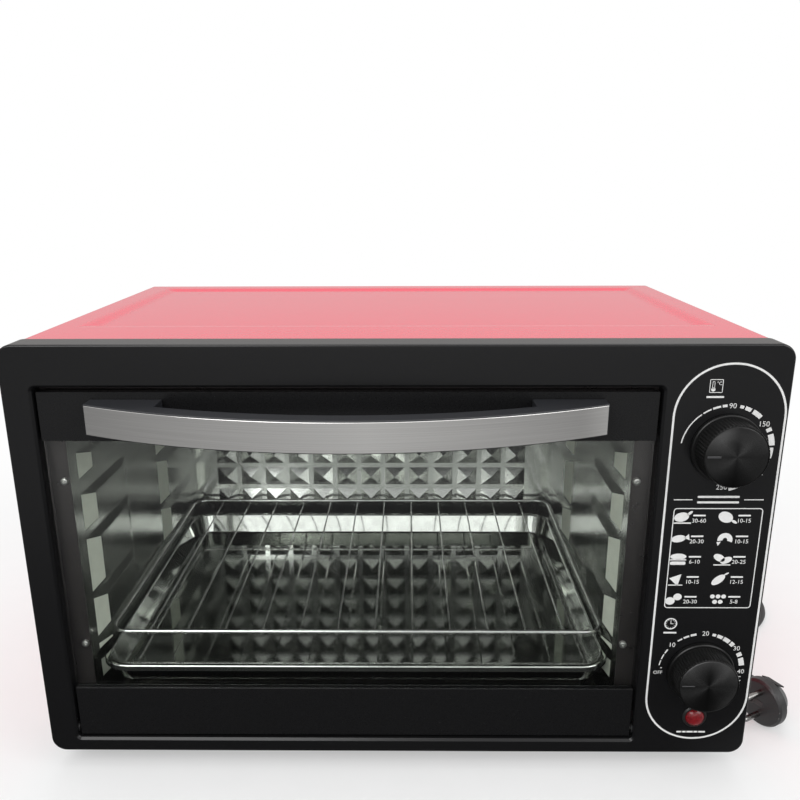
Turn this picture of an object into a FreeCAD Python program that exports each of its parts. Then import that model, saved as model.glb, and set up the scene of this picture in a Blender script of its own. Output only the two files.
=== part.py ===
import FreeCAD, Part
import math
import os
import re

import Sketcher
from FreeCAD import Placement, Rotation, Vector

# Countertop oven with a drop-down glass door, in millimetres, +Z up.
# X runs to the right of someone facing the door and Y runs from the door to the back.
# The origin is on the table, under the middle of the oven's box from handle to back screws.

doc = FreeCAD.newDocument("countertop_oven")
sheet_cells = doc.addObject("Spreadsheet::Sheet", "Sizes")

SIZES = {
    # Gaps and tools
    "fit": 0.3,
    "running_gap": 0.06,
    "overrun": 3.0,
    "sheet": 0.6,
    # Front frame
    "frame_width": 490.0,
    "frame_height": 295.0,
    "frame_depth": 12.0,
    "skirt_depth": 19.5,
    "frame_corner": 10.0,
    "frame_round": 1.5,
    "frame_floor": 4.0,
    "left_stile": 19.0,
    "top_rail": 27.0,
    "bottom_rail": 10.5,
    "right_stile": 78.0,
    "opening_corner": 3.0,
    "opening_bevel": 1.5,
    "stile_wall": 8.0,
    "panel_thickness": 2.5,
    "panel_offset": 41.3,
    # Outer cover
    "body_depth": 294.4,
    "cover_inset": 2.0,
    "cover_drop": 2.0,
    "cover_bend": 6.5,
    "cover_tuck": 5.0,
    "cover_lift": 8.0,
    "skirt_foot_corner": 4.0,
    "cover_lip": 11.0,
    "press_depth": 1.8,
    "press_slope": 9.0,
    "press_side_margin": 21.0,
    "press_front_margin": 55.5,
    "press_rear_margin": 16.0,
    # Base, feet and back
    "foot_height": 15.0,
    "foot_radius": 12.0,
    "foot_taper": 2.0,
    "foot_inset_x": 48.0,
    "foot_inset_front": 56.0,
    "foot_inset_rear": 40.0,
    "foot_bore": 5.0,
    "foot_web": 5.0,
    "base_flange": 14.0,
    "screw_radius": 1.9,
    "screw_head": 4.0,
    "screw_head_thickness": 2.0,
    "screw_length": 7.0,
    "vent_length": 60.0,
    "vent_width": 4.0,
    "vent_pitch": 12.0,
    # Cavity
    "cavity_side_margin": 13.0,
    "cavity_low_margin": 19.5,
    "cavity_high_margin": 10.0,
    "cavity_rear_gap": 9.4,
    "flange_width": 22.0,
    "flange_low": 4.0,
    "lip_width": 12.0,
    "ledge_bottom": 15.05,
    "ledge_height": 14.59,
    "ledge_edge_slope": 1.5,
    "rack_ledge_bottom": 37.7,
    "rack_ledge_height": 5.0,
    "rib_depth": 8.0,
    "rib_start": 12.0,
    "rib_front_length": 82.0,
    "rib_rear_length": 95.0,
    "rib_end_slope": 14.0,
    "rib_edge_slope": 4.0,
    "window_screw_offset": 3.4,
    # Heating rods
    "rod_radius": 3.25,
    "rod_drop": 13.0,
    "rod_lift": 9.0,
    "rod_front": 62.0,
    "rod_rear": 68.0,
    "rod_tail": 10.0,
    "bush_radius": 4.6,
    "bush_flange": 6.5,
    "bush_length": 6.0,
    "bush_flange_thickness": 2.0,
    "terminal_radius": 1.6,
    "terminal_length": 7.0,
    # Controls
    "temp_knob_drop": 66.5,
    "time_knob_height": 67.0,
    "lamp_height": 30.5,
    "bracket_margin": 4.0,
    "thermostat_width": 34.0,
    "thermostat_height": 28.0,
    "thermostat_depth": 24.0,
    "timer_radius": 23.0,
    "timer_depth": 28.0,
    "bell_radius": 18.0,
    "bell_depth": 8.0,
    "bell_gap": 2.0,
    "bell_post": 3.0,
    "bushing_radius": 5.0,
    "shaft_radius": 3.0,
    "shaft_grip": 11.0,
    "shaft_flat": 1.0,
    "knob_radius": 20.5,
    "knob_taper": 0.8,
    "knob_skirt_radius": 22.5,
    "knob_skirt": 3.0,
    "knob_reach": 17.5,
    "knob_clearance": 0.8,
    "knob_rim": 2.0,
    "knob_hollow_wall": 2.0,
    "knob_hub_radius": 6.5,
    "knob_front_wall": 3.0,
    "cap_thickness": 0.8,
    "lens_radius": 6.6,
    "lens_reach": 4.0,
    "bezel_radius": 8.4,
    "bezel_thickness": 1.2,
    "lamp_wall": 0.8,
    "lamp_length": 16.0,
    "bulb_radius": 3.0,
    "bulb_length": 14.0,
    "block_width": 34.0,
    "block_depth": 18.0,
    "block_height": 14.0,
    "block_inset": 46.0,
    "wire_radius": 1.3,
    # Door
    "door_gap": 2.0,
    "door_low_gap": 1.0,
    "door_top_gap": 3.6,
    "door_set": 2.5,
    "door_thickness": 6.5,
    "glass_thickness": 4.0,
    "glass_lift": 10.5,
    "trim_leaf": 1.5,
    "top_trim_height": 32.0,
    "bottom_trim_height": 38.7,
    "hinge_lift": 6.0,
    "hinge_pin_radius": 1.5,
    "hinge_bush_radius": 3.5,
    "hinge_bush_length": 5.0,
    "hinge_block": 16.0,
    # Handle
    "handle_inset": 35.5,
    "handle_height": 20.0,
    "handle_drop": 24.5,
    "handle_reach": 45.0,
    "handle_end_reach": 10.0,
    "handle_depth": 12.0,
    "handle_foot": 45.5,
    "handle_skin": 1.0,
    "handle_screw_inset": 22.0,
    # Wire rack and baking tray
    "rack_wire": 2.0,
    "rack_rod": 1.2,
    "rack_side_gap": 1.5,
    "rack_front": 35.0,
    "rack_rear_gap": 5.0,
    "rack_corner": 12.0,
    "tray_front": 10.0,
    "tray_rear_gap": 15.0,
    "tray_side_gap": 1.5,
    "tray_depth": 18.0,
    "tray_corner": 22.0,
    "tray_rim": 5.0,
    "tray_rim_height": 4.2,
    "tray_slope": 5.0,
    "tray_sheet": 0.7,
    # Cord and plug
    "cord_radius": 3.5,
    "gland_height": 18.0,
    "gland_inset": 38.0,
    "gland_flange": 9.0,
    "gland_flange_thickness": 4.0,
    "gland_root": 6.5,
    "gland_tip": 4.6,
    "gland_length": 26.0,
    "plug_radius": 18.5,
    "plug_face": 17.0,
    "plug_thickness": 19.0,
    "plug_back": 12.0,
    "plug_shoulder": 9.0,
    "plug_bevel": 2.0,
    "plug_neck_radius": 7.5,
    "plug_neck_length": 32.0,
    "plug_neck_tip": 4.4,
    "plug_pin_radius": 2.4,
    "plug_pin_length": 19.0,
    "plug_pin_pitch": 19.0,
    "plug_hole_radius": 2.6,
    "plug_hole_offset": 9.0,
    "plug_hole_depth": 14.0,
    "plug_clip_width": 6.0,
    "plug_clip_thickness": 1.0,
}

# Lower and upper edges of the pressed ribs as shares of the cavity's height; then what is pressed
# into a side wall, as heights above the cavity's floor, places along Y and the slope of its edges:
# two ledges, for the tray and the rack, and in each row of ribs one in front and one at the rear
RIB_SHARES = ((0.210, 0.345), (0.365, 0.545), (0.570, 0.690), (0.737, 0.821))
LEDGE_RUN = ("wall_y + rib_start", "cavity_rear - rib_start")
RIB_RUNS = (("wall_y + rib_start", "wall_y + rib_start + rib_front_length"),
            ("cavity_rear - rib_start - rib_rear_length", "cavity_rear - rib_start"))
PRESSINGS = [
    (f"{name}_bottom", f"{name}_bottom + {name}_height", LEDGE_RUN, "ledge_edge_slope")
    for name in ("ledge", "rack_ledge")
] + [
    (f"cavity_height * {low}", f"cavity_height * {high}", run, "rib_edge_slope")
    for low, high in RIB_SHARES
    for run in RIB_RUNS
]
WINDOW_SCREW_SHARES = (0.224, 0.754)
RACK_ROD_COUNT = 12
VENT_COUNT = 12

PLACES = {
    "front": "-(body_depth + sheet + screw_head_thickness - handle_reach) / 2",
    "base": "foot_height",
    "rear": "front + body_depth",
    "opening_width": "frame_width - left_stile - right_stile",
    "open_x": "open_left + opening_width / 2",
    "open_left": "-frame_width / 2 + left_stile",
    "open_right": "open_left + opening_width",
    "open_low": "base + bottom_rail",
    "open_high": "base + frame_height - top_rail",
    "flange_y": "front + frame_depth",
    "wall_y": "flange_y + sheet",
    "cavity_left": "open_left + cavity_side_margin",
    "cavity_right": "open_right - cavity_side_margin",
    "cavity_low": "open_low + cavity_low_margin",
    "cavity_high": "open_high - cavity_high_margin",
    "cavity_height": "cavity_high - cavity_low",
    "cavity_rear": "rear - cavity_rear_gap",
    "cover_width": "frame_width - 2 * cover_inset",
    "cover_side": "cover_width / 2",
    "cover_inner": "cover_width / 2 - sheet",
    "cover_top": "base + frame_height - cover_drop",
    "cover_low": "base + cover_lift",
    "plate_low": "base + frame_floor",
    "plate_high": "base + frame_floor + sheet",
    "panel_x": "open_right + panel_offset",
    "panel_back": "front + panel_thickness",
    "bracket_back": "front + panel_thickness + sheet",
    "temp_z": "base + frame_height - temp_knob_drop",
    "time_z": "base + time_knob_height",
    "lamp_z": "base + lamp_height",
    "door_left": "open_left + door_gap",
    "door_right": "open_right - door_gap",
    "door_low": "open_low + door_low_gap",
    "door_high": "open_high - door_top_gap",
    "door_y": "front + door_set",
    "door_back": "front + door_set + door_thickness",
    "glass_y": "front + door_set + trim_leaf",
    "glass_back": "front + door_set + trim_leaf + glass_thickness",
    "hinge_y": "front + door_set + door_thickness / 2",
    "hinge_z": "open_low + hinge_lift",
    "handle_high": "door_high - (handle_drop - handle_height)",
    "handle_low": "door_high - handle_drop",
    "handle_front": "front - handle_reach",
    "handle_width": "opening_width - 2 * handle_inset",
    "handle_left": "open_x - handle_width / 2",
    "handle_right": "open_x + handle_width / 2",
    "handle_bow": "handle_reach - handle_end_reach",
    "handle_curve": "(handle_width ^ 2 / 4 + handle_bow ^ 2) / (2 * handle_bow)",
    "ledge_top": "cavity_low + ledge_bottom + ledge_height",
    "tray_rim_low": "ledge_top + fit",
    "tray_rim_high": "ledge_top + fit + tray_rim_height",
    "rack_ledge_top": "cavity_low + rack_ledge_bottom + rack_ledge_height",
    "rack_wire_z": "rack_ledge_top - ledge_edge_slope / 3 + fit + rack_wire",
    "rack_rod_z": "rack_wire_z - rack_wire - rack_rod * 0.8",
    "gland_x": "cover_side - gland_inset",
    "gland_z": "base + gland_height",
    "gland_y": "rear + sheet",
}

WORD = re.compile(r"[a-z_][a-z0-9_]*")


def in_cells(text):
    """The text with each size as its sheet cell and each place spelled out."""
    def swap(found):
        word = found.group()
        if word in PLACES:
            return f"({in_cells(PLACES[word])})"
        if word in SIZES:
            return f"Sizes.{word}"
        return word
    return WORD.sub(swap, str(text))


def number(text):
    """What a text in sizes and places comes to, in millimetres."""
    found = sheet_cells.evalExpression(in_cells(text))
    return float(getattr(found, "Value", found))


for row, (alias, size) in enumerate(SIZES.items(), start=1):
    sheet_cells.set(f"A{row}", alias)
    sheet_cells.set(f"B{row}", str(size))
    sheet_cells.setAlias(f"B{row}", alias)
doc.recompute()


# Shapes shared by the pieces

TURNS = {
    "X": Rotation(Vector(0, 1, 0), 90),
    "-X": Rotation(Vector(0, 1, 0), -90),
    "Y": Rotation(Vector(1, 0, 0), -90),
    "-Y": Rotation(Vector(1, 0, 0), 90),
    "Z": Rotation(),
    "-Z": Rotation(Vector(1, 0, 0), 180),
}


def lay(thing, turn, x, y, z):
    """Turn a piece and bind its place to the sheet."""
    thing.Placement = Placement(Vector(), turn)
    for axis, text in zip("xyz", (x, y, z)):
        thing.setExpression(f".Placement.Base.{axis}", in_cells(text))
    return thing


def block(label, xs, ys, zs):
    """A block between two values on each axis, in either order."""
    solid = doc.addObject("Part::Box", label)
    for prop, (one, other) in zip(("Length", "Width", "Height"), (xs, ys, zs)):
        solid.setExpression(prop, in_cells(f"abs(({other}) - ({one}))"))
    lows = [f"min({one}; {other})" for one, other in (xs, ys, zs)]
    return lay(solid, Rotation(), *lows)


def rod(label, axis, start, end, centre, radius):
    """A round bar along one axis from start to end."""
    solid = doc.addObject("Part::Cylinder", label)
    solid.setExpression("Radius", in_cells(radius))
    solid.setExpression("Height", in_cells(f"abs(({end}) - ({start}))"))
    low = f"min({start}; {end})"
    first, second = centre
    spot = {"X": (low, first, second), "Y": (first, low, second), "Z": (first, second, low)}[axis]
    return lay(solid, TURNS[axis], *spot)


def frustum(label, direction, centre, base_size, top_size, depth):
    """A block whose four sides lean in along a direction, from the middle of its base."""
    solid = doc.addObject("Part::Wedge", label)
    turns = {
        "X": Rotation(Vector(0, 0, 1), -90),
        "-X": Rotation(Vector(0, 0, 1), 90),
        "Y": Rotation(),
        "-Y": Rotation(Vector(0, 0, 1), 180),
        "Z": Rotation(Vector(1, 0, 0), 90),
        "-Z": Rotation(Vector(1, 0, 0), -90),
    }
    for prop, size in (("X", base_size[0]), ("Z", base_size[1]), ("X2", top_size[0]), ("Z2", top_size[1])):
        solid.setExpression(f"{prop}min", in_cells(f"-({size}) / 2"))
        solid.setExpression(f"{prop}max", in_cells(f"({size}) / 2"))
    solid.Ymin = 0
    solid.setExpression("Ymax", in_cells(depth))
    return lay(solid, turns[direction], *centre)


def join(label, *solids):
    """One object of several solids, fused where they meet."""
    whole = doc.addObject("Part::MultiFuse", label)
    whole.Shapes = list(solids)
    whole.Refine = True
    return whole


def cut(label, base, *tools):
    """A solid less its tools."""
    rest = doc.addObject("Part::Cut", label)
    rest.Base = base
    rest.Tool = tools[0] if len(tools) == 1 else join(f"{label}_tools", *tools)
    rest.Refine = True
    return rest


def common(label, one, other):
    """What two solids share."""
    shared = doc.addObject("Part::Common", label)
    shared.Base = one
    shared.Tool = other
    return shared


def dress(kind, label, base, size, pick):
    """Round or bevel the edges that pick chooses."""
    doc.recompute()
    dressed = doc.addObject(kind, label)
    dressed.Base = base
    amount = number(size)
    chosen = [place for place, edge in enumerate(base.Shape.Edges, start=1) if pick(edge)]
    dressed.Edges = [(place, amount, amount) for place in chosen]
    return dressed


def edge_at_front(y_text, inside=None):
    """A test for edges in the plane at y, and inside a half width about the opening if given."""
    level = number(y_text)

    def pick(edge):
        box = edge.BoundBox
        if abs(box.YMin - level) > 1e-4 or abs(box.YMax - level) > 1e-4:
            return False
        if inside is None:
            return True
        low_x, high_x, low_z, high_z = inside
        return box.XMin > low_x and box.XMax < high_x and box.ZMin > low_z and box.ZMax < high_z
    return pick


def rectangle(left, low, right, high, radius=0):
    """Corners of a rectangle, each with its radius."""
    return [(left, low, radius), (right, low, radius), (right, high, radius), (left, high, radius)]


def draw(sketch, corners):
    """Close an outline through corners, each two texts and a radius, and pin it to the sheet."""
    spots = [Vector(number(u), number(v), 0) for u, v, radius in corners]
    radii = [number(radius) for u, v, radius in corners]
    count = len(corners)
    ends = []
    for place, (spot, radius) in enumerate(zip(spots, radii)):
        before = (spots[place - 1] - spot).normalize()
        after = (spots[(place + 1) % count] - spot).normalize()
        if radius <= 0:
            ends.append((spot, spot, None))
            continue
        half = before.getAngle(after) / 2
        reach = radius / math.tan(half)
        middle = spot + (before + after).normalize() * (radius / math.sin(half))
        ends.append((spot + before * reach, spot + after * reach, middle))
    lines = []
    for place in range(count):
        start = ends[place][1]
        end = ends[(place + 1) % count][0]
        lines.append(sketch.addGeometry(Part.LineSegment(start, end)))
    for place, (u, v, radius) in enumerate(corners):
        line_in = lines[place - 1]
        line_out = lines[place]
        start, end, middle = ends[place]
        if middle is None:
            sketch.addConstraint(Sketcher.Constraint("Coincident", line_in, 2, line_out, 1))
            pinned = (line_out, 1)
        else:
            size = radii[place]
            first = math.atan2(start.y - middle.y, start.x - middle.x)
            last = math.atan2(end.y - middle.y, end.x - middle.x)
            turn = (last - first) % (2 * math.pi)
            circle = Part.Circle(middle, Vector(0, 0, 1), size)
            if turn < math.pi:
                arc = sketch.addGeometry(Part.ArcOfCircle(circle, first, last))
                arc_in, arc_out = 1, 2
            else:
                arc = sketch.addGeometry(Part.ArcOfCircle(circle, last, first))
                arc_in, arc_out = 2, 1
            sketch.addConstraint(Sketcher.Constraint("Tangent", line_in, 2, arc, arc_in))
            sketch.addConstraint(Sketcher.Constraint("Tangent", arc, arc_out, line_out, 1))
            ring = sketch.addConstraint(Sketcher.Constraint("Radius", arc, size))
            sketch.setExpression(f"Constraints[{ring}]", in_cells(radius))
            dot = sketch.addGeometry(Part.Point(spots[place]), True)
            sketch.addConstraint(Sketcher.Constraint("PointOnObject", dot, 1, line_in))
            sketch.addConstraint(Sketcher.Constraint("PointOnObject", dot, 1, line_out))
            pinned = (dot, 1)
        for kind, text, value in (("DistanceX", u, spots[place].x), ("DistanceY", v, spots[place].y)):
            pin = sketch.addConstraint(Sketcher.Constraint(kind, -1, 1, *pinned, value))
            sketch.setExpression(f"Constraints[{pin}]", in_cells(text))


def sketch_on(body, role, corners):
    """A sketch on one of the body's own origin planes."""
    plane = next(item for item in body.Origin.OriginFeatures if item.Role == role)
    sketch = body.newObject("Sketcher::SketchObject", f"{body.Name}_outline")
    sketch.AttachmentSupport = [(plane, "")]
    sketch.MapMode = "FlatFace"
    draw(sketch, corners)
    return sketch


def slab(label, plane, corners, start, end):
    """An outline pushed out from start to end, square to its plane."""
    body = doc.addObject("PartDesign::Body", label)
    sketch = sketch_on(body, f"{plane}_Plane", corners)
    pad = body.newObject("PartDesign::Pad", f"{label}_pad")
    pad.Profile = sketch
    pad.setExpression("Length", in_cells(f"({end}) - ({start})"))
    pad.Reversed = plane == "XZ"
    spot = {"XY": (0, 0, start), "XZ": (0, start, 0), "YZ": (start, 0, 0)}[plane]
    return lay(body, Rotation(), *spot)


def spin(label, direction, spot, profile):
    """A turned piece: its half profile in radius and height, about an axis through spot."""
    body = doc.addObject("PartDesign::Body", label)
    sketch = sketch_on(body, "XZ_Plane", profile)
    turned = body.newObject("PartDesign::Revolution", f"{label}_turned")
    turned.Profile = sketch
    turned.ReferenceAxis = (sketch, ["V_Axis"])
    turned.Angle = 360
    return lay(body, TURNS[direction], *spot)


NODES = {}


def keep(node, thing):
    """Record the finished sub-part under its own name."""
    thing.Label = node
    NODES[node] = thing
    return thing


def screws(node, spots, axis, toward, head_at, length="screw_length", head="screw_head", shank="screw_radius"):
    """Pan-head screws whose heads stand on a face and whose shanks run the other way."""
    pieces = []
    for place, centre in enumerate(spots):
        head_end = f"({head_at}) {toward} screw_head_thickness"
        other = "-" if toward == "+" else "+"
        shank_end = f"({head_at}) {other} ({length})"
        pieces.append(rod(f"{node}_head_{place}", axis, head_at, head_end, centre, head))
        pieces.append(rod(f"{node}_shank_{place}", axis, head_end, shank_end, centre, shank))
    return keep(node, join(f"{node}_set", *pieces))


def holes(label, spots, axis, start, end, radius):
    """Round tools for a row of holes."""
    return [rod(f"{label}_{place}", axis, start, end, spot, radius) for place, spot in enumerate(spots)]


# Front frame: one black moulding with the door opening and the control panel

WINDOW_SCREWS = [
    (x, f"cavity_low + cavity_height * {share}")
    for x in ("cavity_left - window_screw_offset", "cavity_right + window_screw_offset")
    for share in WINDOW_SCREW_SHARES
]


def skirt_hollow(label, left, start, left_corners):
    """The space inside the frame's rim, from a left side to the right rim and from start to behind."""
    right = "cover_side + fit"
    low = "plate_low"
    high = "cover_top + fit"
    top, foot = ("cover_bend + fit", "skirt_foot_corner") if left_corners else (0, 0)
    corners = [(left, low, foot), (right, low, "skirt_foot_corner"), (right, high, "cover_bend + fit"),
               (left, high, top)]
    return slab(label, "XZ", corners, start, "front + skirt_depth + overrun")


def front_frame():
    outline = rectangle("-frame_width / 2", "base", "frame_width / 2", "base + frame_height", "frame_corner")
    plain = slab("frame_block", "XZ", outline, "front", "front + skirt_depth")
    rounded = dress("Part::Fillet", "frame_rounded", plain, "frame_round", edge_at_front("front"))
    skirt = skirt_hollow("frame_hollow", "-cover_side - fit", "flange_y", True)
    opening = slab("frame_opening", "XZ", rectangle("open_left", "open_low", "open_right", "open_high",
                   "opening_corner"), "front - overrun", "flange_y + overrun")
    panel = skirt_hollow("panel_hollow", "open_right + stile_wall", "panel_back", False)
    shafts = holes("panel_hole", [("panel_x", "temp_z"), ("panel_x", "time_z")], "Y",
                   "front - overrun", "panel_back + overrun", "bushing_radius + fit")
    lamp = rod("lamp_hole", "Y", "front - overrun", "panel_back + overrun", ("panel_x", "lamp_z"),
               "lens_radius + lamp_wall + running_gap")
    bushes = [rod(f"hinge_bore_{side}", "X", start, end, ("hinge_y", "hinge_z"), "hinge_bush_radius")
              for side, start, end in (("left", "open_left - hinge_bush_length", "open_left + overrun"),
                                       ("right", "open_right - overrun", "open_right + hinge_bush_length"))]
    pierced = cut("frame_pierced", rounded, opening)
    inside = (number("open_left - overrun"), number("open_right + overrun"),
              number("open_low - overrun"), number("open_high + overrun"))
    bevelled = dress("Part::Chamfer", "frame_bevelled", pierced, "opening_bevel",
                     edge_at_front("front", inside))
    return keep("front_frame", cut("frame_hollowed", bevelled, skirt, panel, lamp, *shafts, *bushes))


# Outer cover: one red sheet folded over the top and both sides, with a lip at the back

BACK_SCREW_SPOTS = [
    (x, z)
    for x in ("-(cover_inner - cover_lip / 2)", "cover_inner - cover_lip / 2")
    for z in ("base + 0.2 * frame_height", "base + 0.8 * frame_height")
] + [
    (x, "cover_top - sheet - cover_lip / 2")
    for x in ("-cover_width / 5", "cover_width / 5")
]


def cover_profile(inset, low, radius):
    side = f"cover_side - ({inset})"
    top = f"cover_top - ({inset})"
    return [(f"-({side})", low, 0), (side, low, 0), (side, top, radius), (f"-({side})", top, radius)]


def top_press(label, drop):
    """The shallow panel pressed into the top, as a tool that cuts from above."""
    length = "body_depth - skirt_depth - press_front_margin - press_rear_margin"
    width = "cover_width - 2 * press_side_margin"
    middle = "front + skirt_depth + press_front_margin + (" + length + ") / 2"
    pressed = frustum(label, "-Z", (0, middle, f"cover_top - ({drop})"), (width, length),
                      (f"{width} - 2 * press_slope", f"{length} - 2 * press_slope"), "press_depth")
    return pressed


def outer_cover():
    start = "front + skirt_depth - cover_tuck"
    outside = slab("cover_outside", "XZ", cover_profile("0", "cover_low", "cover_bend"), start, "rear")
    pressed = cut("cover_pressed", outside, top_press("press_outside", "0"))
    inside = slab("cover_inside", "XZ", cover_profile("sheet", "cover_low - overrun", "cover_bend - sheet"),
                  f"{start} - overrun", "rear - sheet")
    under = cut("cover_under", inside, top_press("press_inside", "sheet"))
    mouth = slab("cover_mouth", "XZ", cover_profile("sheet + cover_lip", "cover_low - overrun", "cover_bend"),
                 "rear - sheet - overrun", "rear + overrun")
    bores = holes("cover_bore", BACK_SCREW_SPOTS, "Y", "rear - sheet - overrun", "rear + overrun",
                  "screw_radius")
    sides = []
    for side, start_x, end_x in (("left", "-cover_side - overrun", "-cover_inner + overrun"),
                                 ("right", "cover_inner - overrun", "cover_side + overrun")):
        sides += holes(f"side_bore_{side}", SIDE_SCREW_SPOTS, "X", start_x, end_x, "screw_radius")
    return keep("outer_cover", cut("cover_folded", pressed, under, mouth, *bores, *sides))


# Base plate, feet and the screws that hold them

SIDE_SCREW_SPOTS = [
    (f"front + skirt_depth + {share} * (body_depth - skirt_depth)", "plate_high + base_flange / 2")
    for share in (0.12, 0.5, 0.88)
]
FOOT_SPOTS = [
    (x, y)
    for x in ("-cover_side + foot_inset_x", "cover_side - foot_inset_x")
    for y in ("front + foot_inset_front", "rear - foot_inset_rear")
]


def base_plate():
    flat = block("base_flat", ("-cover_inner + fit", "cover_inner - fit"),
                 ("front + skirt_depth", "rear - sheet - fit"), ("plate_low", "plate_high"))
    tongue = block("base_tongue", ("-cover_inner + frame_corner", "cover_inner - frame_corner"),
                   ("wall_y + fit", "front + skirt_depth + overrun"), ("plate_low", "plate_high"))
    walls = []
    for side, edge, inner in (("left", "-cover_inner + fit", "-cover_inner + fit + sheet"),
                              ("right", "cover_inner - fit", "cover_inner - fit - sheet")):
        walls.append(block(f"base_wall_{side}", (edge, inner), ("front + skirt_depth", "rear - sheet - fit"),
                           ("plate_low", "plate_high + base_flange")))
    tray = join("base_folded", flat, tongue, *walls)
    feet = holes("base_foot_hole", FOOT_SPOTS, "Z", "plate_low - overrun", "plate_high + overrun",
                 "screw_radius")
    sides = holes("base_side_left", SIDE_SCREW_SPOTS, "X", "-cover_side - overrun",
                  "-cover_inner + fit + sheet + overrun", "screw_radius")
    sides += holes("base_side_right", SIDE_SCREW_SPOTS, "X", "cover_inner - fit - sheet - overrun",
                   "cover_side + overrun", "screw_radius")
    return keep("base_plate", cut("base_drilled", tray, *feet, *sides))


def feet():
    profile = [("screw_radius", "foot_height + frame_floor", 0), ("screw_radius", "foot_height - foot_web", 0),
               ("foot_bore", "foot_height - foot_web", 0), ("foot_bore", 0, 0),
               ("foot_radius - foot_taper", 0, 0), ("foot_radius", "foot_height + frame_floor", 0)]
    turned = [spin(f"foot_{place}", "Z", (x, y, 0), profile) for place, (x, y) in enumerate(FOOT_SPOTS)]
    keep("feet", join("foot_set", *turned))
    screws("foot_screws", FOOT_SPOTS, "Z", "-", "foot_height - foot_web",
           "foot_web + frame_floor + sheet + screw_length / 2")


# Back panel and the screws of the cover

def back_panel():
    plate = block("back_plate", ("-cover_side + cover_drop", "cover_side - cover_drop"),
                  ("rear", "rear + sheet"), ("base + frame_floor", "cover_top - cover_drop"))
    vents = []
    for place in range(VENT_COUNT):
        middle = f"panel_x - vent_pitch * {(VENT_COUNT - 1) / 2 - place}"
        for row, centre in (("low", "base + 0.42 * frame_height"), ("high", "base + 0.72 * frame_height")):
            vents.append(block(f"vent_{row}_{place}", (f"{middle} - vent_width / 2 - vent_length",
                                                       f"{middle} + vent_width / 2 - vent_length"),
                               ("rear - overrun", "rear + sheet + overrun"),
                               (f"{centre} - vent_length / 2", f"{centre} + vent_length / 2")))
    bores = holes("back_bore", BACK_SCREW_SPOTS, "Y", "rear - overrun", "rear + sheet + overrun",
                  "screw_radius")
    gland = rod("gland_hole", "Y", "rear - overrun", "rear + sheet + overrun", ("gland_x", "gland_z"),
                "gland_root")
    return keep("back_panel", cut("back_drilled", plate, gland, *vents, *bores))


def cover_screws():
    screws("back_screws", BACK_SCREW_SPOTS, "Y", "+", "rear + sheet")
    pieces = []
    for side, face, sign in (("left", "-cover_side", "-"), ("right", "cover_side", "+")):
        for place, spot in enumerate(SIDE_SCREW_SPOTS):
            other = "+" if sign == "-" else "-"
            head_end = f"{face} {sign} screw_head_thickness"
            pieces.append(rod(f"side_head_{side}_{place}", "X", face, head_end, spot, "screw_head"))
            pieces.append(rod(f"side_shank_{side}_{place}", "X", head_end, f"{face} {other} screw_length", spot,
                              "screw_radius"))
    keep("side_screws", join("side_screw_set", *pieces))


# Cavity: folded bright sheets with pressed ribs that carry the rack and the tray

ROD_SPOTS = {
    "top_front": ("flange_y + rod_front", "cavity_high - rod_drop"),
    "top_rear": ("cavity_rear - rod_rear", "cavity_high - rod_drop"),
    "bottom_front": ("flange_y + rod_front", "cavity_low + rod_lift"),
    "bottom_rear": ("cavity_rear - rod_rear", "cavity_low + rod_lift"),
}


def side_wall(node, face, out, direction):
    """One side of the cavity; out is the sign of X on its outer side."""
    into = "+" if out == "-" else "-"
    plate = block(f"{node}_plate", (face, f"{face} {out} sheet"), ("wall_y", "cavity_rear"),
                  ("plate_high", "cavity_high + sheet"))
    lip = block(f"{node}_lip", (face, f"{face} {out} lip_width"), ("wall_y", "wall_y + sheet"),
                ("cavity_low", "cavity_high"))
    ribs = []
    backs = []
    for place, (low, high, (start, end), slope) in enumerate(PRESSINGS):
        length = f"({end} - ({start}))"
        tall = f"({high} - ({low}))"
        middle = (f"({start} + {end}) / 2", f"cavity_low + ({low} + {high}) / 2")
        top = (f"{length} - 2 * rib_end_slope", f"{tall} - 2 * {slope}")
        ribs.append(frustum(f"{node}_rib_{place}", direction, (face, *middle), (length, tall), top,
                            "rib_depth"))
        backs.append(frustum(f"{node}_rib_back_{place}", direction, (f"{face} {out} sheet", *middle),
                             (f"{length} - 2 * sheet", f"{tall} - 2 * sheet"),
                             (f"{length} - 2 * rib_end_slope - 2 * sheet",
                              f"{tall} - 2 * {slope} - 2 * sheet"), "rib_depth"))
    bores = holes(f"{node}_bore", ROD_SPOTS.values(), "X", f"{face} {out} (sheet + overrun)",
                  f"{face} {into} (rib_depth + overrun)", "bush_radius")
    window = [rod(f"{node}_window_{place}", "Y", "wall_y - overrun", "wall_y + sheet + overrun",
                  (f"{face} {out} window_screw_offset", z), "screw_radius")
              for place, (x, z) in enumerate(WINDOW_SCREWS[:2])]
    solid = join(f"{node}_solid", plate, lip, *ribs)
    return keep(node, cut(f"{node}_pressed", solid, *backs, *bores, *window))


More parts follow.
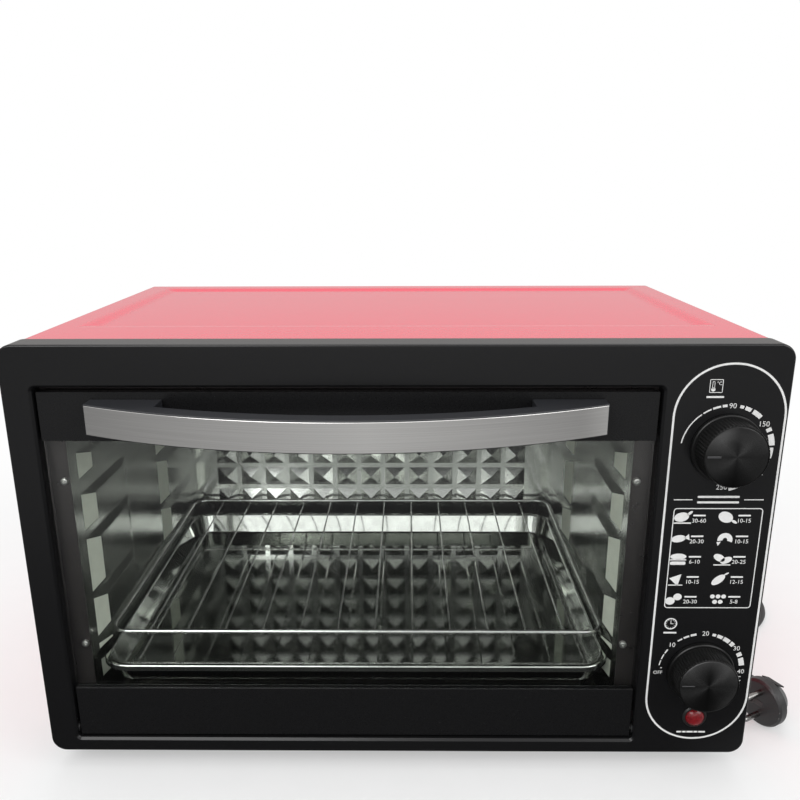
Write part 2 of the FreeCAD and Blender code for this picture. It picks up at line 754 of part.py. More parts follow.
def cavity_sheets():
    side_wall("cavity_left_wall", "cavity_left", "-", "X")
    side_wall("cavity_right_wall", "cavity_right", "+", "-X")
    across = ("cavity_left", "cavity_right")
    deep = ("wall_y", "cavity_rear")
    keep("cavity_roof", block("roof_plate", across, deep, ("cavity_high", "cavity_high + sheet")))
    keep("cavity_floor", block("floor_plate", across, deep, ("cavity_low - sheet", "cavity_low")))
    keep("cavity_back_wall", block("back_wall_plate", ("cavity_left - sheet", "cavity_right + sheet"),
                                   ("cavity_rear", "cavity_rear + sheet"),
                                   ("plate_high", "cavity_high + sheet")))
    ring = block("flange_plate", ("cavity_left - flange_width", "cavity_right + flange_width"),
                 ("flange_y", "wall_y"), ("cavity_low - flange_low", "cover_top - sheet - fit"))
    mouth = block("flange_mouth", across, ("flange_y - overrun", "wall_y + overrun"),
                  ("cavity_low", "cavity_high"))
    bores = holes("flange_bore", WINDOW_SCREWS, "Y", "flange_y - overrun", "wall_y + overrun", "screw_radius")
    keep("cavity_flange", cut("flange_cut", ring, mouth, *bores))
    screws("window_screws", WINDOW_SCREWS, "Y", "-", "flange_y", "screw_length", "screw_head * 0.65")


# Heating rods, their ceramic bushes and terminals

def heating():
    bushes = []
    bores = []
    terminals = []
    for name, spot in ROD_SPOTS.items():
        left = "cavity_left - sheet"
        right = "cavity_right + sheet"
        keep(f"heating_rod_{name}", rod(f"rod_{name}", "X", f"{left} - rod_tail", f"{right} + rod_tail", spot,
                                        "rod_radius"))
        for side, face, sign, back in (("left", left, "-", "+"), ("right", right, "+", "-")):
            bushes.append(rod(f"bush_{name}_{side}", "X", f"{face} {back} bush_length", face, spot,
                              "bush_radius - running_gap"))
            bushes.append(rod(f"bush_flange_{name}_{side}", "X", face, f"{face} {sign} bush_flange_thickness",
                              spot, "bush_flange"))
            bores.append(rod(f"bush_bore_{name}_{side}", "X", f"{face} - rod_tail", f"{face} + rod_tail", spot,
                             "rod_radius"))
            tip = f"{face} {sign} rod_tail"
            terminals.append(rod(f"terminal_{name}_{side}", "X", tip, f"{tip} {sign} terminal_length", spot,
                                 "terminal_radius"))
    keep("rod_bushes", cut("bush_set", join("bush_solid", *bushes), *bores))
    keep("rod_terminals", join("terminal_set", *terminals))


# Controls behind the panel

def controls():
    bracket = block("bracket_plate", ("open_right + stile_wall + fit", "cover_side - bracket_margin"),
                    ("panel_back", "bracket_back"),
                    ("plate_high + bracket_margin", "cover_top - bracket_margin"))
    openings = holes("bracket_hole", [("panel_x", "temp_z"), ("panel_x", "time_z")], "Y",
                     "panel_back - overrun", "bracket_back + overrun", "bushing_radius")
    lamp = rod("bracket_lamp_hole", "Y", "panel_back - overrun", "bracket_back + overrun",
               ("panel_x", "lamp_z"), "lens_radius + lamp_wall + running_gap")
    keep("control_bracket", cut("bracket_drilled", bracket, lamp, *openings))
    case = block("thermostat_case", ("panel_x - thermostat_width / 2", "panel_x + thermostat_width / 2"),
                 ("bracket_back", "bracket_back + thermostat_depth"),
                 ("temp_z - thermostat_height / 2", "temp_z + thermostat_height / 2"))
    timer = rod("timer_case", "Y", "bracket_back", "bracket_back + timer_depth", ("panel_x", "time_z"),
                "timer_radius")
    for name, case_solid, height in (("thermostat", case, "temp_z"), ("timer", timer, "time_z")):
        centre = ("panel_x", height)
        nose = rod(f"{name}_nose", "Y", "front", "bracket_back", centre, "bushing_radius")
        bore = rod(f"{name}_bore", "Y", "front - overrun", "bracket_back + shaft_grip", centre,
                   "shaft_radius + running_gap")
        keep(f"{name}_body", cut(f"{name}_drilled", join(f"{name}_solid", case_solid, nose), bore))
    bell_y = "bracket_back + timer_depth"
    post = rod("bell_post_rod", "Y", bell_y, f"{bell_y} + bell_gap", ("panel_x", "time_z"), "bell_post")
    cup = rod("bell_cup", "Y", f"{bell_y} + bell_gap", f"{bell_y} + bell_gap + bell_depth",
              ("panel_x", "time_z"), "bell_radius")
    hollow = rod("bell_hollow", "Y", f"{bell_y} + bell_gap + sheet",
                 f"{bell_y} + bell_gap + bell_depth + overrun", ("panel_x", "time_z"), "bell_radius - sheet")
    keep("timer_bell", cut("bell_shell", join("bell_solid", cup, post), hollow))


def knob(name, height):
    """A hollow moulded knob with a hub on a flatted shaft, and a thin metal cap let into its face."""
    front = "front - knob_clearance"
    reach = "knob_reach - knob_clearance"
    profile = [(0, 0, 0), ("knob_skirt_radius", 0, 0), ("knob_skirt_radius", "knob_skirt", 0),
               ("knob_radius", "knob_skirt", 0), ("knob_radius - knob_taper", reach, 0),
               ("knob_radius - knob_taper - knob_rim", reach, 0),
               ("knob_radius - knob_taper - knob_rim", f"{reach} - cap_thickness", 0),
               (0, f"{reach} - cap_thickness", 0)]
    solid = spin(f"{name}_solid", "-Y", ("panel_x", front, height), profile)
    centre = ("panel_x", height)
    wall_end = "front - knob_reach + cap_thickness + knob_front_wall"
    hollow = rod(f"{name}_hollow", "Y", wall_end, "front", centre,
                 "knob_radius - knob_taper - knob_hollow_wall")
    hub = rod(f"{name}_hub", "Y", wall_end, f"{front} - fit", centre, "knob_hub_radius")
    shell = cut(f"{name}_shell", solid, hollow)
    flatted = flat_shaft(f"{name}_hub_bore", "front - shaft_grip", "front", height)
    keep(name, cut(f"{name}_bored", join(f"{name}_whole", shell, hub), flatted))
    keep(f"{name}_cap", rod(f"{name}_disc", "Y", "front - knob_reach", "front - knob_reach + cap_thickness",
                            centre, "knob_radius - knob_taper - knob_rim"))


def flat_shaft(label, start, end, height):
    """A round shaft with one flat on its upper side."""
    bar = rod(f"{label}_bar", "Y", start, end, ("panel_x", height), "shaft_radius")
    flat = block(f"{label}_flat", ("panel_x - shaft_radius", "panel_x + shaft_radius"),
                 (f"{start} - overrun", "front"),
                 (f"{height} + shaft_radius - shaft_flat", f"{height} + 2 * shaft_radius"))
    return cut(f"{label}_flatted", bar, flat)


def knobs():
    for name, shaft, height in (("temp_knob", "thermostat_shaft", "temp_z"),
                                ("time_knob", "timer_shaft", "time_z")):
        knob(name, height)
        keep(shaft, flat_shaft(shaft, "front - shaft_grip", "bracket_back + shaft_grip - fit", height))


def indicator():
    """A neon lamp: holder with a round bezel, red domed lens and the bulb inside."""
    spot = ("panel_x", "front", "lamp_z")
    outer = "lens_radius + lamp_wall"
    holder = [("lens_radius", "-lamp_length", 0), (outer, "-lamp_length", 0), (outer, 0, 0),
              ("bezel_radius", 0, 0), (f"{outer} + fit", "bezel_thickness", 0),
              ("lens_radius", "bezel_thickness", 0)]
    keep("lamp_holder", spin("holder_turned", "-Y", spot, holder))
    lens = [("bulb_radius + fit", "-lamp_length / 2", 0), ("lens_radius - running_gap", "-lamp_length / 2", 0),
            ("lens_radius - running_gap", "bezel_thickness", 0), ("lens_radius * 0.55", "lens_reach * 0.9", 0),
            (0, "lens_reach", 0), (0, "lens_reach * 0.4", 0), ("bulb_radius + fit", "lens_reach * 0.2", 0)]
    keep("lamp_lens", spin("lens_turned", "-Y", spot, lens))
    keep("neon_bulb", rod("bulb", "Y", "front + lamp_length - bulb_length", "front + lamp_length",
                          ("panel_x", "lamp_z"), "bulb_radius"))
    seat = rod("socket_plug", "Y", "front + lamp_length", "front + lamp_length + lamp_wall * 2",
               ("panel_x", "lamp_z"), outer)
    keep("lamp_socket", seat)


def terminal_block():
    width = ("panel_x - block_width / 2", "panel_x + block_width / 2")
    deep = ("rear - block_inset - block_depth", "rear - block_inset")
    body = block("block_body", width, deep, ("plate_high", "plate_high + block_height"))
    wells = []
    for place in range(3):
        middle = f"panel_x + block_width * {(place - 1) * 0.3:.1f}"
        wells.append(rod(f"block_well_{place}", "Z", "plate_high + block_height / 2",
                         "plate_high + block_height + overrun",
                         (middle, "rear - block_inset - block_depth / 2"), "block_width * 0.09"))
    keep("terminal_block", cut("block_cut", body, *wells))


# Door: sheet glass held between two folded black channels

def channel(label, web, mouth, web_inner):
    """Front leaf, rear leaf and web of one door channel between two heights."""
    wide = ("door_left", "door_right")
    front_leaf = block(f"{label}_front", wide, ("door_y", "glass_y"), (web, mouth))
    rear_leaf = block(f"{label}_rear", wide, ("glass_back", "door_back"), (web, mouth))
    web_strip = block(f"{label}_web", wide, ("door_y", "door_back"), (web, web_inner))
    return [front_leaf, rear_leaf, web_strip]


def door():
    glass = slab("glass_sheet", "XZ", rectangle("door_left + fit", "door_low + glass_lift", "door_right - fit",
                 "door_high - trim_leaf", 0), "glass_y", "glass_back")
    screw_spots = [("handle_left + handle_screw_inset", "(handle_low + handle_high) / 2"),
                   ("handle_right - handle_screw_inset", "(handle_low + handle_high) / 2")]
    glass_holes = holes("glass_hole", screw_spots, "Y", "glass_y - overrun", "glass_back + overrun",
                        "screw_radius")
    keep("door_glass", cut("glass_drilled", glass, *glass_holes))
    top = join("top_channel", *channel("top_trim", "door_high", "door_high - top_trim_height",
                                       "door_high - trim_leaf"))
    top_holes = holes("top_hole", screw_spots, "Y", "door_y - overrun", "door_back + overrun", "screw_radius")
    keep("door_top_trim", cut("top_trim_drilled", top, *top_holes))
    ends = [block(f"hinge_block_{side}", (edge, inner), ("glass_y", "glass_back"),
                  ("door_low", "door_low + glass_lift - fit"))
            for side, edge, inner in (("left", "door_left", "door_left + hinge_block"),
                                      ("right", "door_right", "door_right - hinge_block"))]
    low = join("low_channel", *channel("low_trim", "door_low", "door_low + bottom_trim_height",
                                       "door_low + trim_leaf"), *ends)
    bores = [rod(f"pin_hole_{side}", "X", start, end, ("hinge_y", "hinge_z"), "hinge_pin_radius")
             for side, start, end in (("left", "door_left - overrun", "door_left + hinge_block * 0.7"),
                                      ("right", "door_right - hinge_block * 0.7", "door_right + overrun"))]
    trim = cut("low_trim_bored", low, *bores)
    rounded = dress("Part::Fillet", "low_trim_rounded", trim, "trim_leaf",
                    lambda edge: edge.BoundBox.XLength > number("opening_width / 2")
                    and abs(edge.BoundBox.ZMax - number("door_low")) < 1e-4)
    keep("door_bottom_trim", rounded)
    pins = [rod(f"hinge_pin_{side}", "X", start, end, ("hinge_y", "hinge_z"), "hinge_pin_radius")
            for side, start, end in (("left", "open_left - hinge_bush_length + fit",
                                      "door_left + hinge_block * 0.7"),
                                     ("right", "door_right - hinge_block * 0.7",
                                      "open_right + hinge_bush_length - fit"))]
    keep("hinge_pins", join("hinge_pin_set", *pins))
    bushes = [rod(f"hinge_bush_{side}", "X", start, end, ("hinge_y", "hinge_z"), "hinge_bush_radius")
              for side, start, end in (("left", "open_left - hinge_bush_length", "open_left + door_gap / 2"),
                                       ("right", "open_right - door_gap / 2",
                                        "open_right + hinge_bush_length"))]
    through = rod("bush_through", "X", "open_left - hinge_bush_length - overrun",
                  "open_right + hinge_bush_length + overrun", ("hinge_y", "hinge_z"),
                  "hinge_pin_radius + running_gap")
    keep("hinge_bushes", cut("hinge_bush_set", join("hinge_bush_solid", *bushes), through))
    screws("handle_screws", screw_spots, "Y", "+", "door_back", "door_thickness + handle_end_reach",
           "screw_head * 0.75")


def handle():
    """A bowed grip bar on two feet, faced with a thin strip of brushed steel."""
    tall = ("handle_low", "handle_high")
    centre = ("open_x", "handle_front + handle_curve")
    outer = block("handle_envelope", ("handle_left", "handle_right"), ("handle_front", "door_y"), tall)
    whole = common("handle_bowed", outer, rod("handle_disc", "Z", *tall, centre, "handle_curve - handle_skin"))
    grip = block("grip_envelope", ("handle_left + handle_foot", "handle_right - handle_foot"),
                 ("handle_front", "door_y + overrun"), ("handle_low - overrun", "handle_high + overrun"))
    inner = rod("grip_disc", "Z", "handle_low - overrun", "handle_high + overrun", centre,
                "handle_curve - handle_skin - handle_depth")
    gap = common("grip_gap", grip, inner)
    bores = [rod(f"handle_bore_{side}", "Y", "door_y - handle_end_reach", "door_y + overrun",
                 (x, "(handle_low + handle_high) / 2"), "screw_radius")
             for side, x in (("left", "handle_left + handle_screw_inset"),
                             ("right", "handle_right - handle_screw_inset"))]
    keep("handle_bar", cut("handle_hollowed", whole, gap, *bores))
    band = cut("handle_band", rod("band_disc", "Z", *tall, centre, "handle_curve"),
               rod("band_core", "Z", "handle_low - overrun", "handle_high + overrun", centre,
                   "handle_curve - handle_skin"))
    envelope = block("band_envelope", ("handle_left", "handle_right"), ("handle_front", "door_y"), tall)
    keep("handle_face", common("handle_strip", envelope, band))


# Wire rack and baking tray

def wire_rack():
    left = "cavity_left + rack_side_gap + rack_wire"
    right = "cavity_right - rack_side_gap - rack_wire"
    low = "front + rack_front + rack_wire"
    high = "cavity_rear - rack_rear_gap - rack_wire"
    level = "rack_wire_z"
    pieces = [
        rod(f"rack_{side}_wire", axis, f"{start} + rack_corner", f"{end} - rack_corner", (across, level),
            "rack_wire")
        for side, axis, start, end, across in (("front", "X", left, right, low),
                                               ("rear", "X", left, right, high),
                                               ("left", "Y", low, high, left),
                                               ("right", "Y", low, high, right))
    ]
    corners = ((f"{left} + rack_corner", f"{low} + rack_corner", 180),
               (f"{right} - rack_corner", f"{low} + rack_corner", 270),
               (f"{right} - rack_corner", f"{high} - rack_corner", 0),
               (f"{left} + rack_corner", f"{high} - rack_corner", 90))
    for place, (x, y, turn) in enumerate(corners):
        bend = doc.addObject("Part::Torus", f"rack_corner_{place}")
        bend.setExpression("Radius1", in_cells("rack_corner"))
        bend.setExpression("Radius2", in_cells("rack_wire"))
        bend.Angle3 = 90
        pieces.append(lay(bend, Rotation(Vector(0, 0, 1), turn), x, y, level))
    for place in range(RACK_ROD_COUNT):
        share = (place + 1) / (RACK_ROD_COUNT + 1)
        x = f"{left} + ({right} - ({left})) * {share:.5f}"
        pieces.append(rod(f"rack_rod_{place}", "Y", f"{low} - rack_wire * 0.6", f"{high} + rack_wire * 0.6",
                          (x, "rack_rod_z"), "rack_rod"))
    keep("wire_rack", join("rack_welded", *pieces))


def tray_outline(inset, radius):
    left = f"cavity_left + tray_side_gap + {inset}"
    right = f"cavity_right - tray_side_gap - ({inset})"
    low = f"front + tray_front + {inset}"
    high = f"cavity_rear - tray_rear_gap - ({inset})"
    return rectangle(left, low, right, high, radius)


def loft(label, levels):
    """A body lofted through outlines, each at its own height."""
    body = doc.addObject("PartDesign::Body", label)
    plane = next(item for item in body.Origin.OriginFeatures if item.Role == "XY_Plane")
    sketches = []
    for place, (corners, height) in enumerate(levels):
        sketch = body.newObject("Sketcher::SketchObject", f"{label}_level_{place}")
        sketch.AttachmentSupport = [(plane, "")]
        sketch.MapMode = "FlatFace"
        sketch.setExpression(".AttachmentOffset.Base.z", in_cells(height))
        draw(sketch, corners)
        sketches.append(sketch)
    lofted = body.newObject("PartDesign::AdditiveLoft", f"{label}_loft")
    lofted.Profile = sketches[0]
    lofted.Sections = sketches[1:]
    lofted.Ruled = True
    return body


def baking_tray():
    """A drawn tray with sloping walls and a rim folded out and down."""
    floor_low = "tray_rim_high - tray_depth"
    wall = "tray_rim + tray_slope"
    outside = loft("tray_outside", [
        (tray_outline(wall, "tray_corner - tray_slope - tray_rim / 2"), floor_low),
        (tray_outline("tray_rim", "tray_corner - tray_rim / 2"), "tray_rim_high")])
    inside = loft("tray_inside", [
        (tray_outline(f"{wall} + tray_sheet", "tray_corner - tray_slope - tray_rim / 2 - tray_sheet"),
         f"{floor_low} + tray_sheet"),
        (tray_outline("tray_rim + tray_sheet", "tray_corner - tray_rim / 2 - tray_sheet"),
         "tray_rim_high + tray_sheet * 0.3")])
    rim = slab("tray_rim_block", "XY", tray_outline("0", "tray_corner"), "tray_rim_low", "tray_rim_high")
    rim_hollow = slab("tray_rim_hollow", "XY", tray_outline("tray_sheet", "tray_corner - tray_sheet"),
                      "tray_rim_low - overrun", "tray_rim_high - tray_sheet")
    folded = cut("tray_rim_folded", rim, rim_hollow)
    keep("baking_tray", cut("tray_drawn", join("tray_solid", folded, outside), inside))


# Cord, strain relief and plug

CORD_ROUTE = [
    (205, 195, 33), (205, 213, 33), (204, 233, 28.5), (199, 252, 19.5), (188, 268, 10),
    (170, 278, 4.5), (146, 282, 3.5), (112, 284, 3.5), (80, 279, 3.5), (54, 263, 3.5),
    (41, 238, 3.5), (46, 211, 3.5), (68, 193, 3.5), (102, 189, 3.5), (142, 193, 3.5),
    (186, 200, 3.5), (234, 204, 3.5), (282, 198, 3.5), (321, 179, 3.5), (346, 150, 3.5),
    (357, 119, 3.5), (356, 91, 3.5), (346, 68, 3.5), (325, 47, 3.5), (306, 26, 3.5),
    (295, 5, 3.5), (291.7, -12.2, 3.6), (291.7, -32.3, 8.2),
]


def pipe_path(points):
    """Straight runs joined by tangent arcs as large as the runs allow; also the least radius."""
    spots = [Vector(*point) for point in points]
    edges = []
    radii = []
    start = spots[0]
    for before, corner, after in zip(spots, spots[1:], spots[2:]):
        one = (before - corner).normalize()
        other = (after - corner).normalize()
        reach = 0.45 * min((before - corner).Length, (after - corner).Length)
        turn = math.pi - one.getAngle(other)
        radius = reach / math.tan(turn / 2)
        radii.append(radius)
        arc_start = corner + one * reach
        arc_end = corner + other * reach
        inward = (one + other).normalize()
        middle = corner + inward * (radius / math.cos(turn / 2) - radius)
        edges.append(Part.LineSegment(start, arc_start).toShape())
        edges.append(Part.Arc(arc_start, middle, arc_end).toShape())
        start = arc_end
    edges.append(Part.LineSegment(start, spots[-1]).toShape())
    return Part.Wire(edges), min(radii)


def hose(label, points, radius):
    """A round tube along a path."""
    path, least = pipe_path(points)
    size = number(radius)
    along = Vector(*points[1]) - Vector(*points[0])
    ring = Part.Wire(Part.makeCircle(size, Vector(*points[0]), along))
    solid = path.makePipeShell([ring], True, False)
    share = solid.Volume / (math.pi * size ** 2 * path.Length)
    print(f"{label}: length {path.Length:.0f} mm, least bend {least:.1f} mm, volume share {share:.4f}")
    return solid


def shaped(label, solid):
    """A sub-part whose shape is set from a computed solid."""
    thing = doc.addObject("Part::Feature", label)
    thing.Shape = solid
    thing.Placement = Placement()
    return thing


def cord():
    route = cord_route()
    keep("power_cord", shaped("cord_tube", hose("power_cord", route, "cord_radius")))
    profile = [(0, "-gland_flange_thickness", 0), ("gland_root - running_gap", "-gland_flange_thickness", 0),
               ("gland_root - running_gap", 0, 0), ("gland_flange", 0, 0),
               ("gland_flange", "gland_flange_thickness", 0), ("gland_root", "gland_flange_thickness", 0),
               ("gland_tip", "gland_length", 0), (0, "gland_length", 0)]
    keep("strain_relief", spin("relief_turned", "Y", ("gland_x", "gland_y", "gland_z"), profile))


def cord_route():
    """The route, starting at the strain relief's tip wherever the gland sits."""
    start = Vector(number("gland_x"), number("gland_y + gland_length"), number("gland_z"))
    return [tuple(start)] + CORD_ROUTE[1:]


def wiring():
    """Short leads inside the control space."""
    left = number("panel_x - block_width * 0.3")
    middle = number("panel_x")
    right = number("panel_x + block_width * 0.3")
    block_y = number("rear - block_inset - block_depth / 2")
    block_z = number("plate_high + block_height / 2")
    thermostat = Vector(left, number("bracket_back + thermostat_depth"), number("temp_z"))
    timer = Vector(middle, number("bracket_back + timer_depth"), number("time_z - timer_radius * 0.9"))
    lamp = Vector(middle, number("front + lamp_length + lamp_wall * 2"), number("lamp_z"))
    top = block_z + number("block_height")
    leads = []
    for start, bend_y, end_x in ((thermostat, 0.7, left), (timer, 0.55, middle), (lamp, 0.8, right)):
        reach = block_y - start.y
        points = [tuple(start), (start.x, start.y + reach * 0.15, start.z),
                  (end_x, start.y + reach * bend_y, (start.z + top) / 2),
                  (end_x, block_y, top), (end_x, block_y, block_z)]
        leads.append(hose(f"lead {len(leads)}", points, "wire_radius"))
    keep("inner_leads", shaped("lead_set", Part.makeCompound(leads)))


PLUG_TURN = 14.5
PLUG_FACE = Vector(281, -78, 0)


def at_plug(thing):
    """Move a piece made about the plug's own face to where the plug lies."""
    thing.Placement = Placement(PLUG_FACE, Rotation(Vector(0, 0, 1), PLUG_TURN))
    return thing


def plug():
    """An earthed two-pin plug lying on its edge, its pins towards the oven's side."""
    middle = "plug_radius"
    profile = [(0, 0, 0), ("plug_face", 0, 0), ("plug_radius", "plug_bevel", 0),
               ("plug_radius", "plug_shoulder", 0),
               ("plug_back", "plug_thickness", 0), (0, "plug_thickness", 0)]
    disc = spin("plug_disc", "X", (0, 0, middle), profile)
    frame = Placement(PLUG_FACE, Rotation(Vector(0, 0, 1), PLUG_TURN)).inverse()
    tip = frame.multVec(Vector(*CORD_ROUTE[-1]))
    inward = (tip - frame.multVec(Vector(*CORD_ROUTE[-2]))).normalize()
    neck = doc.addObject("Part::Cone", "plug_neck")
    neck.setExpression("Radius1", in_cells("plug_neck_tip"))
    neck.setExpression("Radius2", in_cells("plug_neck_radius"))
    neck.setExpression("Height", in_cells("plug_neck_length"))
    neck.Placement = Placement(tip, Rotation(Vector(0, 0, 1), inward))
    pin_z = [f"{middle} {sign} plug_pin_pitch / 2" for sign in ("-", "+")]
    pin_spots = [(0, z) for z in pin_z]
    seats = holes("pin_seat", pin_spots, "X", "-overrun", "plug_shoulder", "plug_pin_radius")
    earth = rod("earth_hole", "X", "-overrun", "plug_hole_depth", ("plug_hole_offset", middle),
                "plug_hole_radius")
    clips = []
    slots = []
    for side, sign in (("near", "-"), ("far", "+")):
        outer = f"{sign}plug_face"
        inner = f"{sign}(plug_face - plug_clip_thickness)"
        clip_z = (f"{middle} - plug_clip_width / 2", f"{middle} + plug_clip_width / 2")
        clips.append(block(f"clip_{side}", (0, "plug_shoulder"), (inner, outer), clip_z))
        slots.append(block(f"clip_slot_{side}", ("-overrun", "plug_shoulder"),
                           (inner, f"{sign}(plug_radius + overrun)"), clip_z))
    body = cut("plug_cut", join("plug_solid", disc, neck), earth, *seats, *slots)
    keep("plug_body", at_plug(body))
    pins = holes("plug_pin", pin_spots, "X", "-plug_pin_length", "plug_shoulder", "plug_pin_radius")
    keep("plug_pins", at_plug(join("plug_pin_set", *pins)))
    keep("plug_earth_clips", at_plug(join("plug_clip_set", *clips)))


front_frame()
outer_cover()
base_plate()
feet()
back_panel()
cover_screws()
cavity_sheets()
heating()
controls()
knobs()
indicator()
terminal_block()
wiring()
door()
handle()
wire_rack()
baking_tray()
cord()
plug()
doc.recompute()

for thing in doc.Objects:
    if "Invalid" in thing.State or "Error" in thing.State:
        raise RuntimeError(f"{thing.Label} failed: {thing.State}")
for node, thing in NODES.items():
    if thing.Shape.isNull() or not thing.Shape.isValid():
        raise RuntimeError(f"{node} has no valid shape")

os.makedirs("parts", exist_ok=True)
for node, thing in NODES.items():
    thing.Shape.exportStep(f"parts/{node}.step")
print(len(NODES), "sub-parts written")
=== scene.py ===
import math

import bmesh
import bpy
from mathutils import Matrix, Vector


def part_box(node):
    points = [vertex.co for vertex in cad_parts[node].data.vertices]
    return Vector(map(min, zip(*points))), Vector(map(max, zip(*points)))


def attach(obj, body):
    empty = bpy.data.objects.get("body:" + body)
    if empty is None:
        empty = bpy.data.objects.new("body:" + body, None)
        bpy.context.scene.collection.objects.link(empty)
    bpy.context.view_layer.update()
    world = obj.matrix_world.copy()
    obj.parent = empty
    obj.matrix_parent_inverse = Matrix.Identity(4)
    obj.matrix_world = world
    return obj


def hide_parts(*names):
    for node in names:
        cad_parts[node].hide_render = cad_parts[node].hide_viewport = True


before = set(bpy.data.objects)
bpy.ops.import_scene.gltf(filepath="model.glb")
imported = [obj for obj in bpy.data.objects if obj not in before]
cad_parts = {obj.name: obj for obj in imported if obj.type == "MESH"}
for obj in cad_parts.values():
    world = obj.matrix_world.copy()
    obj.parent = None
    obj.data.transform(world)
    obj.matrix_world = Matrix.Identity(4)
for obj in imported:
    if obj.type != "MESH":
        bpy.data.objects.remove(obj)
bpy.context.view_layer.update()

# Camera. The photograph looks down at the door from a little above the oven, almost square to
# its front, through a lens of normal width.
CAMERA_SPOT = (0.0085, -0.5834, 0.4036)
CAMERA_PITCH, CAMERA_YAW, CAMERA_ROLL = 15.7, 0.6, -0.2
camera_data = bpy.data.cameras.new("camera")
camera_data.sensor_width = 36
camera_data.lens = 34.5
camera_data.clip_start = 0.01
camera = bpy.data.objects.new("camera", camera_data)
bpy.context.scene.collection.objects.link(camera)
camera.matrix_world = (
    Matrix.Translation(CAMERA_SPOT)
    @ Matrix.Rotation(math.radians(CAMERA_YAW), 4, "Z")
    @ Matrix.Rotation(math.radians(90 - CAMERA_PITCH), 4, "X")
    @ Matrix.Rotation(math.radians(CAMERA_ROLL), 4, "Z")
)
bpy.context.scene.camera = camera
bpy.context.scene.view_settings.view_transform = "Standard"


# Mains cord. A round two-core lead with a black rubber-like sheath comes out of the back, lies
# in one loose loop behind the oven and runs forward along its right side to the plug.
CORD_RADIUS = 0.0035
CORD_ROUTE = [
    (0.205, 0.195, 0.033), (0.205, 0.213, 0.033), (0.204, 0.233, 0.0285), (0.199, 0.252, 0.0195),
    (0.188, 0.268, 0.010), (0.170, 0.278, 0.0045), (0.146, 0.282, 0.0035), (0.112, 0.284, 0.0035),
    (0.080, 0.279, 0.0035), (0.054, 0.263, 0.0035), (0.041, 0.238, 0.0035), (0.046, 0.211, 0.0035),
    (0.068, 0.193, 0.0035), (0.102, 0.189, 0.0035), (0.142, 0.193, 0.0035), (0.186, 0.200, 0.0035),
    (0.234, 0.204, 0.0035), (0.282, 0.198, 0.0035), (0.321, 0.179, 0.0035), (0.346, 0.150, 0.0035),
    (0.357, 0.119, 0.0035), (0.356, 0.091, 0.0035), (0.346, 0.068, 0.0035), (0.325, 0.047, 0.0035),
    (0.306, 0.026, 0.0035), (0.295, 0.005, 0.0035), (0.2917, -0.0122, 0.0036), (0.2917, -0.0323, 0.0082),
]


def added(nodes, kind, **values):
    """A new shader node with these values on its inputs; From_Min stands for the input From Min."""
    made = nodes.new("ShaderNode" + kind)
    for socket, value in values.items():
        made.inputs[socket.replace("_", " ")].default_value = value
    return made


def wired(owner, *links):
    """Link the nodes of a material or world: from a node's output to a node's input."""
    for start, output, end, goal in links:
        owner.node_tree.links.new(start.outputs[output], end.inputs[goal])


def finish(name, colour, rough, metal=0.0, grain=400, tone=0.15, rough_change=0.08,
           relief=0.00002, coat=0.0, gloss=0.5):
    """A surface whose colour, roughness and relief vary together with one grain, even or (x, y, z)."""
    made = bpy.data.materials.new(name)
    made.use_nodes = True
    nodes = made.node_tree.nodes
    shader = nodes["Principled BSDF"]
    shader.inputs["Metallic"].default_value = metal
    shader.inputs["Coat Weight"].default_value = coat
    shader.inputs["Specular IOR Level"].default_value = gloss
    place = added(nodes, "TexCoord")
    stretch = added(nodes, "Mapping", Scale=grain if isinstance(grain, tuple) else (grain,) * 3)
    noise = added(nodes, "TexNoise", Scale=1, Detail=4)
    colours = added(nodes, "ValToRGB")
    dark, light = colours.color_ramp.elements
    dark.position, light.position = 0.3, 0.7
    dark.color = (*[part * (1 - tone) for part in colour], 1)
    light.color = (*[min(1, part * (1 + tone)) for part in colour], 1)
    roughs = added(nodes, "MapRange", To_Min=rough - rough_change, To_Max=rough + rough_change)
    bump = added(nodes, "Bump", Distance=relief)
    wired(made, (place, "Object", stretch, "Vector"), (stretch, "Vector", noise, "Vector"),
          (noise, "Fac", colours, "Fac"), (noise, "Fac", roughs, "Value"), (noise, "Fac", bump, "Height"),
          (colours, "Color", shader, "Base Color"), (roughs, "Result", shader, "Roughness"),
          (bump, "Normal", shader, "Normal"))
    return made


cord_sheath = finish("cord sheath", (0.022, 0.022, 0.023), 0.42, grain=900, relief=0.00004)
cord_curve = bpy.data.curves.new("power_cord_lead", "CURVE")
cord_curve.dimensions = "3D"
cord_curve.bevel_depth = CORD_RADIUS
cord_curve.bevel_resolution = 6
cord_curve.resolution_u = 10
cord_curve.use_fill_caps = True
cord_line = cord_curve.splines.new("NURBS")
cord_line.points.add(len(CORD_ROUTE) - 1)
for knot, spot in zip(cord_line.points, CORD_ROUTE):
    knot.co = (*spot, 1)
cord_line.order_u = 3
cord_line.use_endpoint_u = True
cord_curve.materials.append(cord_sheath)
power_cord = bpy.data.objects.new("power_cord_lead", cord_curve)
bpy.context.scene.collection.objects.link(power_cord)
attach(power_cord, "cabinet")
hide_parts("power_cord")


# Strain relief. A ribbed sleeve moulded on the lead, with a flange that clips into the back
# panel, keeps the lead from bending sharply where it comes out.
RELIEF_RADIUS = 0.0089
RELIEF_LENGTH = 0.026
RELIEF_FLANGE = 0.0038
RELIEF_ROOT, RELIEF_TIP = 0.0063, 0.0046
RELIEF_RIBS = 6


def faced(shape):
    """Turn all faces of a bmesh outward."""
    bmesh.ops.recalc_face_normals(shape, faces=shape.faces)
    return shape


